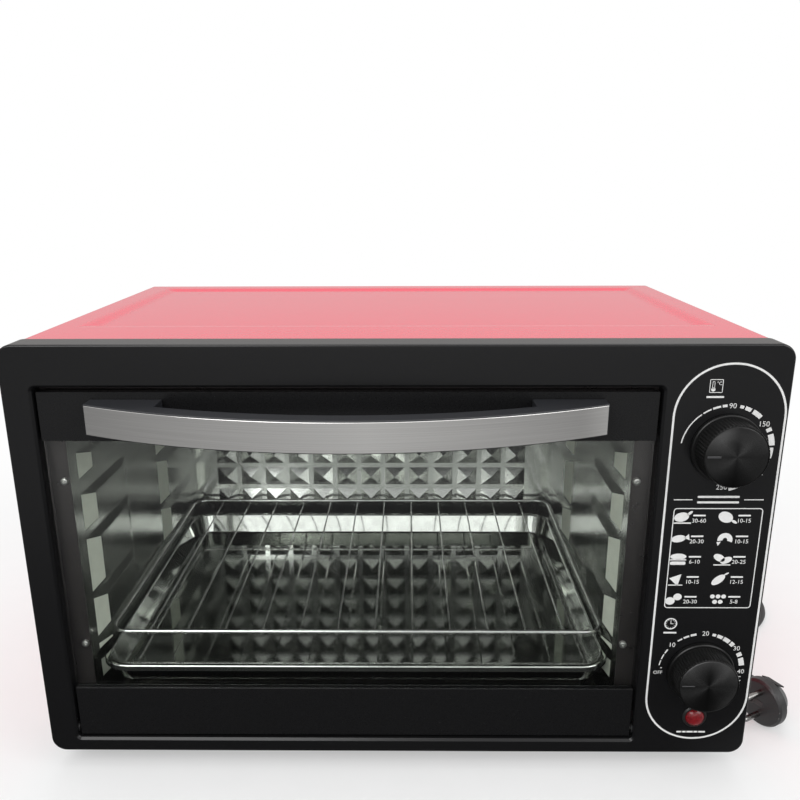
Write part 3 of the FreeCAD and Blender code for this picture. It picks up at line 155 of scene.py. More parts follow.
def turned(profile, centre, direction, steps=64):
    """A bmesh spun from (radius, height) points about an axis through centre."""
    shape = bmesh.new()
    corners = [shape.verts.new((radius, 0, height)) for radius, height in profile]
    edges = [shape.edges.new(pair) for pair in zip(corners, corners[1:])]
    bmesh.ops.spin(shape, geom=corners + edges, cent=(0, 0, 0), axis=(0, 0, 1), dvec=(0, 0, 0),
                   angle=2 * math.pi, steps=steps, use_merge=True)
    bmesh.ops.remove_doubles(shape, verts=shape.verts, dist=1e-6)
    faced(shape)
    turn = Vector((0, 0, 1)).rotation_difference(Vector(direction)).to_matrix().to_4x4()
    bmesh.ops.transform(shape, matrix=Matrix.Translation(centre) @ turn, verts=shape.verts)
    return shape


def soften(shape, offset, segments=3, over=30, under=181):
    """Round every edge that turns by an angle between over and under degrees."""
    edges = [edge for edge in shape.edges
             if len(edge.link_faces) == 2 and over < math.degrees(edge.calc_face_angle()) < under]
    bmesh.ops.bevel(shape, geom=edges, offset=offset, segments=segments, profile=0.5, affect="EDGES",
                    clamp_overlap=True, material=-1)
    return shape


def finished(shape, name, body, slot, material, *nodes, sharp=35, weigh=True):
    """The piece made of a bmesh: shaded, given its finish and hung on its body."""
    mesh = bpy.data.meshes.new(name)
    shape.to_mesh(mesh)
    shape.free()
    mesh.shade_smooth()
    mesh.set_sharp_from_angle(angle=math.radians(sharp))
    mesh.materials.append(material)
    piece = bpy.data.objects.new(name, mesh)
    bpy.context.scene.collection.objects.link(piece)
    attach(piece, body)
    if nodes:
        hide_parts(*nodes)
    if weigh:
        piece.modifiers.new("flat faces stay flat", "WEIGHTED_NORMAL").keep_sharp = True
    return piece


relief_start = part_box("strain_relief")[0].y
relief_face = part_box("back_panel")[1].y
relief_profile = [(0, relief_start - relief_face), (RELIEF_ROOT, relief_start - relief_face),
                  (RELIEF_ROOT, 0), (RELIEF_RADIUS, 0), (RELIEF_RADIUS, RELIEF_FLANGE)]
for rib in range(RELIEF_RIBS):
    share = rib / RELIEF_RIBS
    radius = RELIEF_ROOT + (RELIEF_TIP - RELIEF_ROOT) * share
    height = RELIEF_FLANGE + (RELIEF_LENGTH - RELIEF_FLANGE) * share
    step = (RELIEF_LENGTH - RELIEF_FLANGE) / RELIEF_RIBS
    relief_profile += [(radius, height + step * 0.12), (radius, height + step * 0.62),
                       (radius - 0.0011, height + step * 0.72), (radius - 0.0011, height + step * 0.98)]
relief_profile += [(RELIEF_TIP, RELIEF_LENGTH), (0, RELIEF_LENGTH)]
relief_spot = (CORD_ROUTE[0][0], relief_face, CORD_ROUTE[0][2])
relief = soften(turned(relief_profile, relief_spot, (0, 1, 0), 40), 0.0003, 2)
finished(relief, "cord_relief", "cabinet", "cord_black", cord_sheath, "strain_relief")


# Plug. A moulded earthed plug with two round pins lies on its edge, its face turned to the
# oven's side; two spring clips for the earth sit in slots of its rim.
PLUG_SPOT = (0.2785, -0.0760, 0.0185)
PLUG_TURN = 28
PLUG_RADIUS, PLUG_FACE = 0.0185, 0.0170
PLUG_SHOULDER, PLUG_DEPTH, PLUG_BACK = 0.0080, 0.018, 0.0120
PLUG_PIN_RADIUS, PLUG_PIN_LENGTH, PLUG_PIN_PITCH = 0.0022, 0.0155, 0.019
PLUG_HOLE, PLUG_HOLE_OFFSET = 0.0026, 0.0075
NECK_TIP, NECK_ROOT, NECK_LENGTH = 0.0044, 0.0074, 0.0380
NECK_RIBS = 7
plug_place = Matrix.Translation(PLUG_SPOT) @ Matrix.Rotation(math.radians(PLUG_TURN), 4, "Z")


def joined(*shapes):
    """One bmesh that holds several."""
    whole = bmesh.new()
    for shape in shapes:
        part = bpy.data.meshes.new("part")
        shape.to_mesh(part)
        shape.free()
        whole.from_mesh(part)
        bpy.data.meshes.remove(part)
    return whole


def block(low, high, rounding, segments=3):
    """A block between two corners with its edges rounded."""
    shape = bmesh.new()
    bmesh.ops.create_cube(shape, size=1)
    low, high = Vector(low), Vector(high)
    bmesh.ops.scale(shape, vec=high - low, verts=shape.verts)
    bmesh.ops.translate(shape, vec=(low + high) / 2, verts=shape.verts)
    return soften(shape, rounding, segments)


def moved(shape, matrix):
    """The same bmesh, carried to its place."""
    bmesh.ops.transform(shape, matrix=matrix, verts=shape.verts)
    return shape


plug_black = finish("plug moulding", (0.028, 0.028, 0.029), 0.36, grain=700, relief=0.00004)
plug_nickel = finish("plug nickel", (0.34, 0.33, 0.32), 0.22, metal=1, grain=(300, 300, 1500), tone=0.05)
plug_profile = [(0, 0), (PLUG_FACE, 0), (PLUG_RADIUS, 0.002), (PLUG_RADIUS, PLUG_SHOULDER),
                (PLUG_RADIUS - 0.0012, PLUG_SHOULDER + 0.0008), (PLUG_BACK, PLUG_DEPTH - 0.0008),
                (PLUG_BACK - 0.0015, PLUG_DEPTH), (0, PLUG_DEPTH)]
plug_disc = soften(turned(plug_profile, (0, 0, 0), (1, 0, 0), 72), 0.0004, 2)
plug_grips = []
for side in (-1, 1):
    for place in range(5):
        along = PLUG_SHOULDER + 0.0012 + place * 0.0018
        reach = PLUG_RADIUS - 0.0012 - (PLUG_RADIUS - 0.0012 - PLUG_BACK) * (place + 0.5) / 5.6
        plug_grips.append(block((along, -0.007, side * reach - 0.0006),
                                (along + 0.0009, 0.007, side * reach + 0.0005), 0.0003, 2))
neck_start = Vector(CORD_ROUTE[-1])
neck_direction = (neck_start - Vector(CORD_ROUTE[-2])).normalized()
neck_profile = [(0, 0)]
for rib in range(NECK_RIBS):
    share = rib / NECK_RIBS
    radius = NECK_TIP + (NECK_ROOT - NECK_TIP) * share
    step = NECK_LENGTH * 0.8 / NECK_RIBS
    height = step * rib
    neck_profile += [(radius, height), (radius + 0.0001, height + step * 0.6),
                     (radius - 0.001, height + step * 0.66), (radius - 0.001, height + step * 0.94)]
neck_profile += [(NECK_ROOT, NECK_LENGTH * 0.82), (NECK_ROOT, NECK_LENGTH), (0, NECK_LENGTH)]
plug_neck = soften(turned(neck_profile, neck_start, neck_direction, 40), 0.0002, 2)
plug = joined(moved(joined(plug_disc, *plug_grips), plug_place), plug_neck)
finished(plug, "plug_case", "cabinet", "plug_black", plug_black, "plug_body")
pins = []
for side in (-1, 1):
    pin_profile = [(0, -PLUG_PIN_LENGTH), (PLUG_PIN_RADIUS * 0.6, -PLUG_PIN_LENGTH),
                   (PLUG_PIN_RADIUS, -PLUG_PIN_LENGTH + 0.002), (PLUG_PIN_RADIUS, 0.0005), (0, 0.0005)]
    pins.append(turned(pin_profile, (0, 0, side * PLUG_PIN_PITCH / 2), (1, 0, 0), 24))
finished(moved(joined(*pins), plug_place), "plug_prongs", "cabinet", "pin_nickel", plug_nickel, "plug_pins")
socket_ring = [(PLUG_HOLE, 0.0002), (PLUG_HOLE, -0.0005), (PLUG_HOLE + 0.0014, -0.0005),
               (PLUG_HOLE + 0.0014, 0.0002)]
earth_grey = finish("earth socket", (0.055, 0.055, 0.055), 0.5)
earth_hole_shade = finish("earth hole painted shade", (0.006, 0.006, 0.006), 0.7)
earth_ring = turned(socket_ring, (0, PLUG_HOLE_OFFSET, 0), (1, 0, 0), 32)
earth_bar = block((-0.0003, -0.0035, -0.0022), (0.0004, 0.0120, 0.0022), 0.0002, 2)
finished(moved(joined(earth_ring, earth_bar), plug_place), "plug_earth_ring", "cabinet", "plug_black",
         earth_grey)
# The earth hole: a near-black disc filling the socket ring, painted shade for the depth of the hole.
earth_bore = turned([(0, -0.0004), (PLUG_HOLE, -0.0004), (PLUG_HOLE, 0.0002), (0, 0.0002)],
                    (0, PLUG_HOLE_OFFSET, 0), (1, 0, 0), 32)
finished(moved(earth_bore, plug_place), "plug_earth_hole_shade", "cabinet", "plug_black", earth_hole_shade)
clips = [block((0.0004, side * (PLUG_FACE - 0.0002) - 0.0006, -0.003),
               (PLUG_SHOULDER, side * (PLUG_FACE - 0.0002) + 0.0006, 0.003), 0.0003, 2) for side in (-1, 1)]
finished(moved(joined(*clips), plug_place), "plug_clips", "cabinet", "pin_nickel", plug_nickel,
         "plug_earth_clips")


# Feet. Four tapered round feet of hard black rubber, each held to the base by a screw from below.
foot_low, foot_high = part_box("feet")
foot_top = foot_high.z
FOOT_RADIUS, FOOT_TAPER, FOOT_BORE, FOOT_WEB = 0.012, 0.002, 0.005, 0.010
FOOT_HOLE, FOOT_EDGE = 0.0019, 0.0008
foot_rubber = finish("foot rubber", (0.028, 0.028, 0.029), 0.62, grain=900, relief=0.00005)
foot_profile = [(FOOT_BORE, FOOT_WEB), (FOOT_BORE, 0), (FOOT_RADIUS - FOOT_TAPER, 0),
                (FOOT_RADIUS, foot_top), (FOOT_HOLE, foot_top), (FOOT_HOLE, FOOT_WEB),
                (FOOT_BORE, FOOT_WEB)]
feet = []
for x in (foot_low.x + FOOT_RADIUS, foot_high.x - FOOT_RADIUS):
    for y in (foot_low.y + FOOT_RADIUS, foot_high.y - FOOT_RADIUS):
        feet.append(turned(foot_profile, (x, y, 0), (0, 0, 1), 40))
finished(soften(joined(*feet), FOOT_EDGE, 2), "rubber_feet", "cabinet", "foot_black", foot_rubber, "feet")


# Base and back. A folded zinc-plated floor plate and a black painted back plate with vent slots
# close the housing; both hold the cover's screws.
zinc = finish("zinc plate", (0.60, 0.62, 0.63), 0.42, metal=1, grain=90, tone=0.12, rough_change=0.10)
back_paint = finish("back paint", (0.035, 0.035, 0.037), 0.48, grain=1100, tone=0.2, relief=0.00003)


def from_node(node, rounding, segments=2, over=30, under=181):
    """A bmesh of a CAD piece, its triangles merged into whole faces and its edges eased."""
    shape = bmesh.new()
    shape.from_mesh(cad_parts[node].data)
    bmesh.ops.remove_doubles(shape, verts=shape.verts, dist=1e-6)
    bmesh.ops.dissolve_limit(shape, angle_limit=math.radians(1), verts=shape.verts, edges=shape.edges,
                             use_dissolve_boundaries=False)
    return soften(shape, rounding, segments, over, under)


def recover(material, *nodes):
    """Give CAD pieces that stay as they are their own finish."""
    for node in nodes:
        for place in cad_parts[node].material_slots:
            place.material = material


recover(zinc, "base_plate")
finished(from_node("back_panel", 0.00015, 1), "rear_plate", "cabinet", "back_black", back_paint,
         "back_panel")


# Cavity. Folded sheets of bright aluminised steel: two side walls with long pressed ribs, a back
# wall stamped all over with small pyramids, a roof, a floor and the flange that the frame holds.
# The side walls get a darker copy of that steel as painted shade, the flange a near-black copy as a
# painted dark reflection, and the ends of the ribs turned to the front a pale flat colour as a painted
# highlight.
PYRAMID_PITCH_X, PYRAMID_PITCH_Z = 0.0247, 0.0235
PYRAMID_BASE, PYRAMID_HEIGHT = 0.0166, 0.0040
PYRAMID_COLUMNS, PYRAMID_ROWS = 13, 8
PYRAMID_MIDDLE_Z = 0.1728
RIB_SHARE, RIB_DEPTH = 0.55, 0.008
bright_sheet = finish("aluminised sheet", (0.66, 0.67, 0.65), 0.16, metal=1, grain=60, tone=0.05,
                      rough_change=0.04, relief=0.0)
# The side walls: the cavity's steel made darker, painted shade that dims what they mirror.
shaded_wall_sheet = finish("wall sheet painted darker", (0.42, 0.43, 0.405), 0.19, metal=1, grain=60, tone=0.04,
                    rough_change=0.03, relief=0.0)
# The flange: the cavity's steel made near black, a painted dark reflection.
flange_painted_dark = finish("flange painted dark", (0.075, 0.067, 0.067), 0.28, metal=0.85, grain=90,
                      tone=0.03, rough_change=0.02, relief=0.0)
# Ends of the ribs: a pale flat colour on the faces turned to the front, a painted highlight.
painted_light_rib_ends = finish("painted light rib ends", (0.52, 0.545, 0.47), 0.45, grain=120, tone=0.06)
for side in ("left", "right"):
    wall = from_node(f"cavity_{side}_wall", 0.0016, 3, 20, 85)
    wall_low, wall_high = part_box(f"cavity_{side}_wall")
    sheet_x = wall_high.x - RIB_DEPTH if side == "left" else wall_low.x + RIB_DEPTH
    for vertex in wall.verts:
        if abs(vertex.co.x) < abs(sheet_x):
            vertex.co.x = sheet_x + (vertex.co.x - sheet_x) * RIB_SHARE
    wall.normal_update()
    # Faces turned to the front take the pale colour, the painted highlight.
    for face in wall.faces:
        if face.normal.y < -0.2 and abs(face.normal.x) > 0.3 and abs(face.normal.z) < 0.1:
            face.material_index = 1
    ribbed = finished(wall, f"{side}_ribbed_wall", "cabinet", "cavity_steel", shaded_wall_sheet,
                      f"cavity_{side}_wall")
    ribbed.data.materials.append(painted_light_rib_ends)
recover(bright_sheet, "cavity_roof", "cavity_floor", "cavity_back_wall")
recover(flange_painted_dark, "cavity_flange")


def verts_in(parts):
    """The vertices among some parts of a bmesh."""
    return [part for part in parts if isinstance(part, bmesh.types.BMVert)]


def pyramid_sheet(columns, rows, pitch_u, pitch_v, base, height, thickness):
    """A flat sheet centred on the origin with rows of small square pyramids raised towards +Z."""
    shape = bmesh.new()
    bmesh.ops.create_grid(shape, x_segments=columns, y_segments=rows, size=0.5)
    bmesh.ops.scale(shape, vec=(columns * pitch_u, rows * pitch_v, 1), verts=shape.verts)
    cells = shape.faces[:]
    bmesh.ops.inset_individual(shape, faces=cells, thickness=(min(pitch_u, pitch_v) - base) / 2, depth=0)
    bmesh.ops.poke(shape, faces=cells, offset=height)
    rim = [edge for edge in shape.edges if edge.is_boundary]
    wall = bmesh.ops.extrude_edge_only(shape, edges=rim)["geom"]
    low = verts_in(wall)
    bmesh.ops.translate(shape, vec=(0, 0, -thickness), verts=low)
    bmesh.ops.holes_fill(shape, edges=[edge for edge in shape.edges if edge.is_boundary])
    return faced(shape)


roof_low, roof_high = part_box("cavity_roof")
wall_x = (roof_low.x + roof_high.x) / 2
rear_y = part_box("cavity_back_wall")[0].y
stamped = pyramid_sheet(PYRAMID_COLUMNS, PYRAMID_ROWS, PYRAMID_PITCH_X, PYRAMID_PITCH_Z, PYRAMID_BASE,
                        PYRAMID_HEIGHT, 0.0004)
moved(stamped, Matrix.Translation((wall_x, rear_y - 0.0001, PYRAMID_MIDDLE_Z))
      @ Matrix.Rotation(math.pi / 2, 4, "X"))
finished(stamped, "stamped_back_wall", "cabinet", "cavity_steel", bright_sheet, sharp=5)


# Heating. Four straight sheathed rods cross the cavity, two under the roof and two above the
# floor, each end held in a white ceramic bush with its terminal outside.
rod_sheath = finish("rod sheath", (0.30, 0.285, 0.27), 0.38, metal=1, grain=(40, 700, 700), tone=0.25,
                    rough_change=0.12)
ceramic = finish("ceramic", (0.80, 0.78, 0.73), 0.32, grain=500, tone=0.05)
recover(rod_sheath, "heating_rod_top_front", "heating_rod_top_rear", "heating_rod_bottom_front",
        "heating_rod_bottom_rear")
recover(ceramic, "rod_bushes")
recover(plug_nickel, "rod_terminals")


# Front frame. One black moulding with a satin face: the door opening with a bevelled rim on the
# left and the control panel on the right. It is screwed to the cavity's flange from behind.
frame_black = finish("frame moulding", (0.0075, 0.0075, 0.008), 0.24, grain=1400, tone=0.12,
                     rough_change=0.05, relief=0.00001, gloss=0.35)
finished(from_node("front_frame", 0.0005, 2, 40), "front_surround", "cabinet", "frame_black", frame_black,
         "front_frame")


# Panel print. White ink on the control panel: a long rounded outline, scales round both knobs, a
# thermometer and a clock, and a table of foods with their baking minutes.
INK, FIGURE = 0.00006, 0.0048
OUTLINE_LOW, OUTLINE_HIGH, OUTLINE_HALF = 0.0270, 0.2986, 0.0352
OUTLINE_CORNER, OUTLINE_LINE = 0.0348, 0.0013
temp_low, temp_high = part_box("temp_knob")
time_low, time_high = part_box("time_knob")
panel_x = (temp_low.x + temp_high.x) / 2
temp_z = (temp_low.z + temp_high.z) / 2
time_z = (time_low.z + time_high.z) / 2
panel_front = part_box("front_frame")[0].y


def bar(left, right, low, high, corner=0.0, line=0.0, segments=4):
    """A flat rounded plate of ink, or only its outline where a line width is given."""
    shape = bmesh.new()
    bmesh.ops.create_grid(shape, x_segments=1, y_segments=1, size=0.5)
    bmesh.ops.scale(shape, vec=(right - left, high - low, 1), verts=shape.verts)
    if corner:
        bmesh.ops.bevel(shape, geom=shape.verts[:], offset=corner, segments=segments, profile=0.5,
                        affect="VERTICES", material=-1)
    if line:
        plate = shape.faces[:]
        bmesh.ops.inset_region(shape, faces=plate, thickness=line, depth=0, use_boundary=True,
                               use_even_offset=True)
        bmesh.ops.delete(shape, geom=plate, context="FACES_ONLY")
    bmesh.ops.translate(shape, vec=((left + right) / 2, (low + high) / 2, 0), verts=shape.verts)
    return shape


def arc(x, z, radius, width, start, end):
    """A flat band of ink about a centre, its ends in degrees clockwise from nine o'clock."""
    shape = bmesh.new()
    tips = [shape.verts.new((-radius - side * width / 2, 0, 0)) for side in (-1, 1)]
    line = shape.edges.new(tips)
    bmesh.ops.rotate(shape, cent=(0, 0, 0), matrix=Matrix.Rotation(math.radians(-start), 3, "Z"),
                     verts=tips)
    bmesh.ops.spin(shape, geom=[*tips, line], cent=(0, 0, 0), axis=(0, 0, -1), dvec=(0, 0, 0),
                   angle=math.radians(end - start), steps=max(2, round((end - start) / 4)), use_merge=False)
    bmesh.ops.translate(shape, vec=(x, z, 0), verts=shape.verts)
    return shape


def blot(x, z, wide, tall, turn=0, segments=20):
    """A flat oval of ink, or a triangle with three segments."""
    shape = bmesh.new()
    bmesh.ops.create_circle(shape, cap_ends=True, radius=0.5, segments=segments)
    bmesh.ops.scale(shape, vec=(wide, tall, 1), verts=shape.verts)
    bmesh.ops.rotate(shape, cent=(0, 0, 0), matrix=Matrix.Rotation(math.radians(turn), 3, "Z"),
                     verts=shape.verts)
    bmesh.ops.translate(shape, vec=(x, z, 0), verts=shape.verts)
    return shape


def figures(x, z, words, size):
    """Plain figures of ink centred on a spot."""
    curve = bpy.data.curves.new("figures", "FONT")
    curve.body = words
    curve.size = size
    curve.align_x = "CENTER"
    curve.align_y = "CENTER"
    curve.resolution_u = 3
    carrier = bpy.data.objects.new("figures", curve)
    mesh = bpy.data.meshes.new_from_object(carrier)
    shape = bmesh.new()
    shape.from_mesh(mesh)
    bpy.data.objects.remove(carrier)
    bpy.data.meshes.remove(mesh)
    bpy.data.curves.remove(curve)
    bmesh.ops.translate(shape, vec=(x, z, 0), verts=shape.verts)
    return shape


def dash(x, z, left, right, low, high, corner=0.0, line=0.0):
    """A plate of ink, or its outline, with its sides given from a spot."""
    return bar(x + left, x + right, z + low, z + high, corner, line)


def drawn(x, z, *strokes):
    """Marks about one spot: for each its form, its place from there and its numbers."""
    return [form(x + right, z + up, *numbers) for form, right, up, *numbers in strokes]


marks = [bar(panel_x - OUTLINE_HALF, panel_x + OUTLINE_HALF, OUTLINE_LOW, OUTLINE_HIGH, OUTLINE_CORNER,
             OUTLINE_LINE, 20)]

# Temperature: a line from off that thickens in steps up to 250 degrees, then an arrow.
TEMP_RING, TEMP_RISE = 0.0285, -0.0007
TEMP_STEPS = [(8, 53, 0.0007), (55, 66, 0.0009), (68, 78, 0.0013), (80, 86, 0.0017), (102, 107, 0.0020),
              (109, 117, 0.0025), (120, 133, 0.0030), (151, 156, 0.0034), (160, 175, 0.0036),
              (178, 192, 0.0024), (194, 211, 0.0007)]
for start, end, width in TEMP_STEPS:
    marks.append(arc(panel_x, temp_z + TEMP_RISE, TEMP_RING, width, start, end))
marks.append(blot(panel_x + 0.0245, temp_z - 0.0177, 0.0020, 0.0016, 130, 3))
for place in range(6):
    marks.append(arc(panel_x, temp_z + TEMP_RISE, TEMP_RING - 0.0010, 0.0005 + place * 0.0003,
                     236 + place * 4, 240 + place * 4))
marks += drawn(panel_x, temp_z, (figures, 0.0014, 0.0275, "90", FIGURE),
               (figures, 0.0220, 0.0157, "150", FIGURE), (figures, 0.0002, -0.0265, "250", FIGURE))

# Time: from off through 40 minutes in steps that thicken the same way.
TIME_RING, TIME_RISE = 0.0283, 0.0006
TIME_STEPS = [(8, 16, 0.0007), (18, 26, 0.0008), (28, 35, 0.0009), (53, 60, 0.0010), (62, 70, 0.0013),
              (72, 80, 0.0016), (102, 107, 0.0019), (109, 117, 0.0024), (119, 129, 0.0029),
              (131, 137, 0.0032), (151, 157, 0.0034), (160, 172, 0.0036)]
for start, end, width in TIME_STEPS:
    marks.append(arc(panel_x, time_z + TIME_RISE, TIME_RING, width, start, end))
marks += drawn(panel_x, time_z, (figures, -0.0285, -0.0012, "OFF", 0.0036),
               (figures, -0.0207, 0.0203, "10", FIGURE), (figures, 0.0012, 0.0290, "20", FIGURE),
               (figures, 0.0232, 0.0177, "30", FIGURE), (figures, 0.0280, -0.0003, "40", FIGURE),
               (blot, -0.0265, 0.0025, 0.0016, 0.0014, 180, 3),
               (dash, 0, 0, 0.0270, 0.0285, -0.0046, -0.0040),
               (blot, 0.0280, -0.0075, 0.0018, 0.0015, 180, 3))

# Signs for the two knobs: a thermometer in a square and a clock.
marks += drawn(panel_x - 0.0102, temp_z + 0.0403,
               (dash, 0, 0, -0.0041, 0.0041, -0.0043, 0.0043, 0.0006, 0.0004),
               (dash, 0, 0, -0.0025, -0.0009, -0.0018, 0.0030, 0.0007, 0.0003),
               (blot, -0.0017, -0.0022, 0.0026, 0.0026), (figures, 0.0018, 0.0016, "\u00b0C", 0.0030),
               (dash, 0, 0, -0.0054, 0.0054, -0.0076, -0.0064, 0.0003))
clock_x, clock_z = panel_x - 0.0230, time_z + 0.0366
marks += drawn(clock_x, clock_z, (arc, 0, 0, 0.0039, 0.0008, 0, 360),
               (dash, 0, 0, -0.0002, 0.0002, -0.0002, 0.0025),
               (dash, 0, 0, -0.0002, 0.0018, -0.0002, 0.0002),
               (dash, 0, 0, -0.0044, 0.0044, -0.0074, -0.0062, 0.0003))
marks += [arc(clock_x, clock_z, 0.0030, 0.0006, hour * 30 - 3, hour * 30 + 3) for hour in range(12)]

# A line of small marks under the lamp.
LAMP_MARKS = ((-0.0112, -0.0078), (-0.0072, -0.0048), (-0.0042, 0.0002), (0.0008, 0.0034), (0.0040, 0.0088))
marks += [bar(panel_x + left, panel_x + right, 0.0322, 0.0335, 0.0003) for left, right in LAMP_MARKS]

# Table of foods: two columns of plain pictures, each with a bar and its minutes beside it.
TABLE_HALF, TABLE_LOW, TABLE_HIGH = 0.0287, 0.1305, 0.2027
marks += drawn(panel_x, 0, (dash, 0, 0, -TABLE_HALF, TABLE_HALF, TABLE_LOW, TABLE_HIGH, 0.0022, 0.0006),
               (dash, 0, 0, -0.0293, -0.0174, 0.2082, 0.2088), (dash, 0, 0, 0.0156, 0.0280, 0.2082, 0.2088),
               (dash, 0, 0, -0.0142, 0.0125, 0.2098, 0.2112, 0.0004),
               (dash, 0, 0, -0.0142, 0.0125, 0.2060, 0.2074, 0.0004))
FOOD_LEFT, FOOD_TOP, FOOD_COLUMN, FOOD_ROW = -0.0226, 0.1958, 0.0290, 0.01465
FOODS = (
    # Roast
    ("30-60", (blot, -0.0006, 0.0006, 0.0096, 0.0064, 12), (blot, 0.0046, 0.0034, 0.0042, 0.0018, 40),
     (dash, 0, 0, -0.0058, 0.0058, -0.0040, -0.0031, 0.0003)),
    # Joint
    ("10-15", (blot, -0.0012, 0.0006, 0.0098, 0.0074, -24), (blot, 0.0046, -0.0026, 0.0042, 0.0018, -30)),
    # Fish
    ("20-30", (blot, -0.0012, 0, 0.0096, 0.0050, 10), (blot, 0.0046, 0.0010, 0.0050, 0.0046, 100, 3)),
    # Shrimp
    ("10-15", (arc, 0, -0.0008, 0.0032, 0.0034, -10, 200), (blot, -0.0040, -0.0032, 0.0040, 0.0030, 60, 3)),
    # Bun
    ("6-10", (blot, 0, 0.0018, 0.0106, 0.0044), (dash, 0, 0, -0.0054, 0.0054, -0.0009, -0.0001, 0.0003),
     (dash, 0, 0, -0.0051, 0.0051, -0.0041, -0.0017, 0.0010)),
    # Wings
    ("20-25", (blot, -0.0022, 0.0010, 0.0082, 0.0048, -28), (blot, 0.0024, -0.0008, 0.0080, 0.0044, 24),
     (dash, 0, 0, -0.0056, 0.0056, -0.0045, -0.0037, 0.0003)),
    # Wedge
    ("10-15", (blot, 0, -0.0002, 0.0104, 0.0092, 78, 3),
     (dash, 0, 0, -0.0050, 0.0046, -0.0046, -0.0039, 0.0002)),
    # Root
    ("12-15", (blot, -0.0012, -0.0004, 0.0104, 0.0052, 40), (blot, 0.0038, 0.0040, 0.0034, 0.0011, 30)),
    # Nut
    ("20-30", (blot, -0.0026, -0.0014, 0.0064, 0.0056), (blot, 0.0022, 0.0016, 0.0056, 0.0050)),
    # Balls
    ("5-8", *[(blot, place * 0.0037, 0.0020, 0.0032, 0.0030) for place in (-1, 0, 1)],
     *[(blot, place * 0.0037, -0.0020, 0.0032, 0.0030) for place in (-0.5, 0.5)]),
)
for place, (minutes, *picture) in enumerate(FOODS):
    row, column = place // 2, place % 2
    marks += drawn(panel_x + FOOD_LEFT + column * FOOD_COLUMN, FOOD_TOP - row * FOOD_ROW, *picture,
                   (figures, 0.0108, -0.0020, minutes, 0.0040),
                   (dash, 0, 0, 0.0068, 0.0148, 0.0012, 0.0023, 0.0003))

ink = joined(*marks)
ink.normal_update()
bmesh.ops.reverse_faces(ink, faces=[face for face in ink.faces if face.normal.z < 0])
print_layer = bmesh.ops.extrude_face_region(ink, geom=ink.faces[:], use_keep_orig=True)["geom"]
bmesh.ops.translate(ink, vec=(0, 0, INK), verts=verts_in(print_layer))
faced(ink)
moved(ink, Matrix.Translation((0, panel_front, 0)) @ Matrix.Rotation(math.pi / 2, 4, "X"))
panel_white = finish("panel ink", (0.78, 0.78, 0.77), 0.5, tone=0.04, relief=0.000005)
finished(ink, "panel_print", "cabinet", "", panel_white)


# Controls. Behind the panel a steel bracket carries the thermostat and the clockwork timer with
# its bell; leads run from a terminal block to both and to the lamp's holder.
case_brown = finish("control case", (0.10, 0.085, 0.07), 0.45, grain=800, tone=0.25)
turned_brass = finish("turned brass", (0.72, 0.56, 0.28), 0.28, metal=1, grain=(900, 60, 900), tone=0.10)
terminal_cream = finish("terminal cream", (0.72, 0.67, 0.52), 0.5, grain=700, tone=0.08)
lead_white = finish("lead sleeve", (0.74, 0.73, 0.69), 0.5, grain=900, tone=0.08)
bulb_glass = finish("bulb glass", (0.85, 0.45, 0.30), 0.12, grain=300, tone=0.1)
recover(zinc, "control_bracket", "timer_bell")
recover(case_brown, "thermostat_body", "timer_body")
recover(turned_brass, "thermostat_shaft", "timer_shaft")
recover(terminal_cream, "terminal_block", "lamp_socket")
recover(lead_white, "inner_leads")
recover(bulb_glass, "neon_bulb")


# Lamp. A small neon lamp shows through a moulded red lens in a round black bezel below the knobs.
LENS_RADIUS, LENS_REACH = 0.0065, 0.0040
BEZEL_RADIUS, BEZEL_REACH = 0.0084, 0.0012
lamp_low, lamp_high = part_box("lamp_lens")
lamp_spot = (panel_x, panel_front, (lamp_low.z + lamp_high.z) / 2)
lens_red = finish("lamp lens", (0.20, 0.008, 0.012), 0.22, grain=900, tone=0.35, relief=0.0003, coat=0.3)
bezel_black = finish("lamp bezel", (0.02, 0.02, 0.02), 0.35, grain=900)
lens_profile = [(0, LENS_REACH), (LENS_RADIUS * 0.3, LENS_REACH * 0.98),
                (LENS_RADIUS * 0.62, LENS_REACH * 0.86),
                (LENS_RADIUS * 0.88, LENS_REACH * 0.6), (LENS_RADIUS, LENS_REACH * 0.28),
                (LENS_RADIUS, -0.004), (0, -0.004)]
finished(turned(lens_profile, lamp_spot, (0, -1, 0), 48), "red_lens", "cabinet",
         "lens_red", lens_red, "lamp_lens")
bezel_profile = [(LENS_RADIUS + 0.0001, -0.0155), (LENS_RADIUS + 0.0001, BEZEL_REACH),
                 (LENS_RADIUS + 0.0012, BEZEL_REACH),
                 (BEZEL_RADIUS, 0.0003), (BEZEL_RADIUS, 0), (LENS_RADIUS + 0.0009, 0),
                 (LENS_RADIUS + 0.0009, -0.0155), (LENS_RADIUS + 0.0001, -0.0155)]
finished(soften(turned(bezel_profile, lamp_spot, (0, -1, 0), 48), 0.0002, 2),
         "lamp_ring", "cabinet", "knob_black", bezel_black, "lamp_holder")


# Knobs. Two round moulded knobs push onto the flatted shafts; fine flutes run round their sides
# and a spun dark aluminium disc with one fine pointer groove is let into each face.
KNOB_SKIRT_RADIUS, KNOB_SKIRT = 0.0225, 0.0030
KNOB_RADIUS, KNOB_TAPER, KNOB_REACH = 0.0205, 0.0002, 0.0167
KNOB_START = 0.0008
KNOB_RIM, KNOB_SINK = 0.0008, 0.0005
KNOB_FLUTES, KNOB_FLUTE_DEPTH = 60, 0.0005
POINTER_LENGTH, POINTER_WIDTH = 0.0084, 0.0012
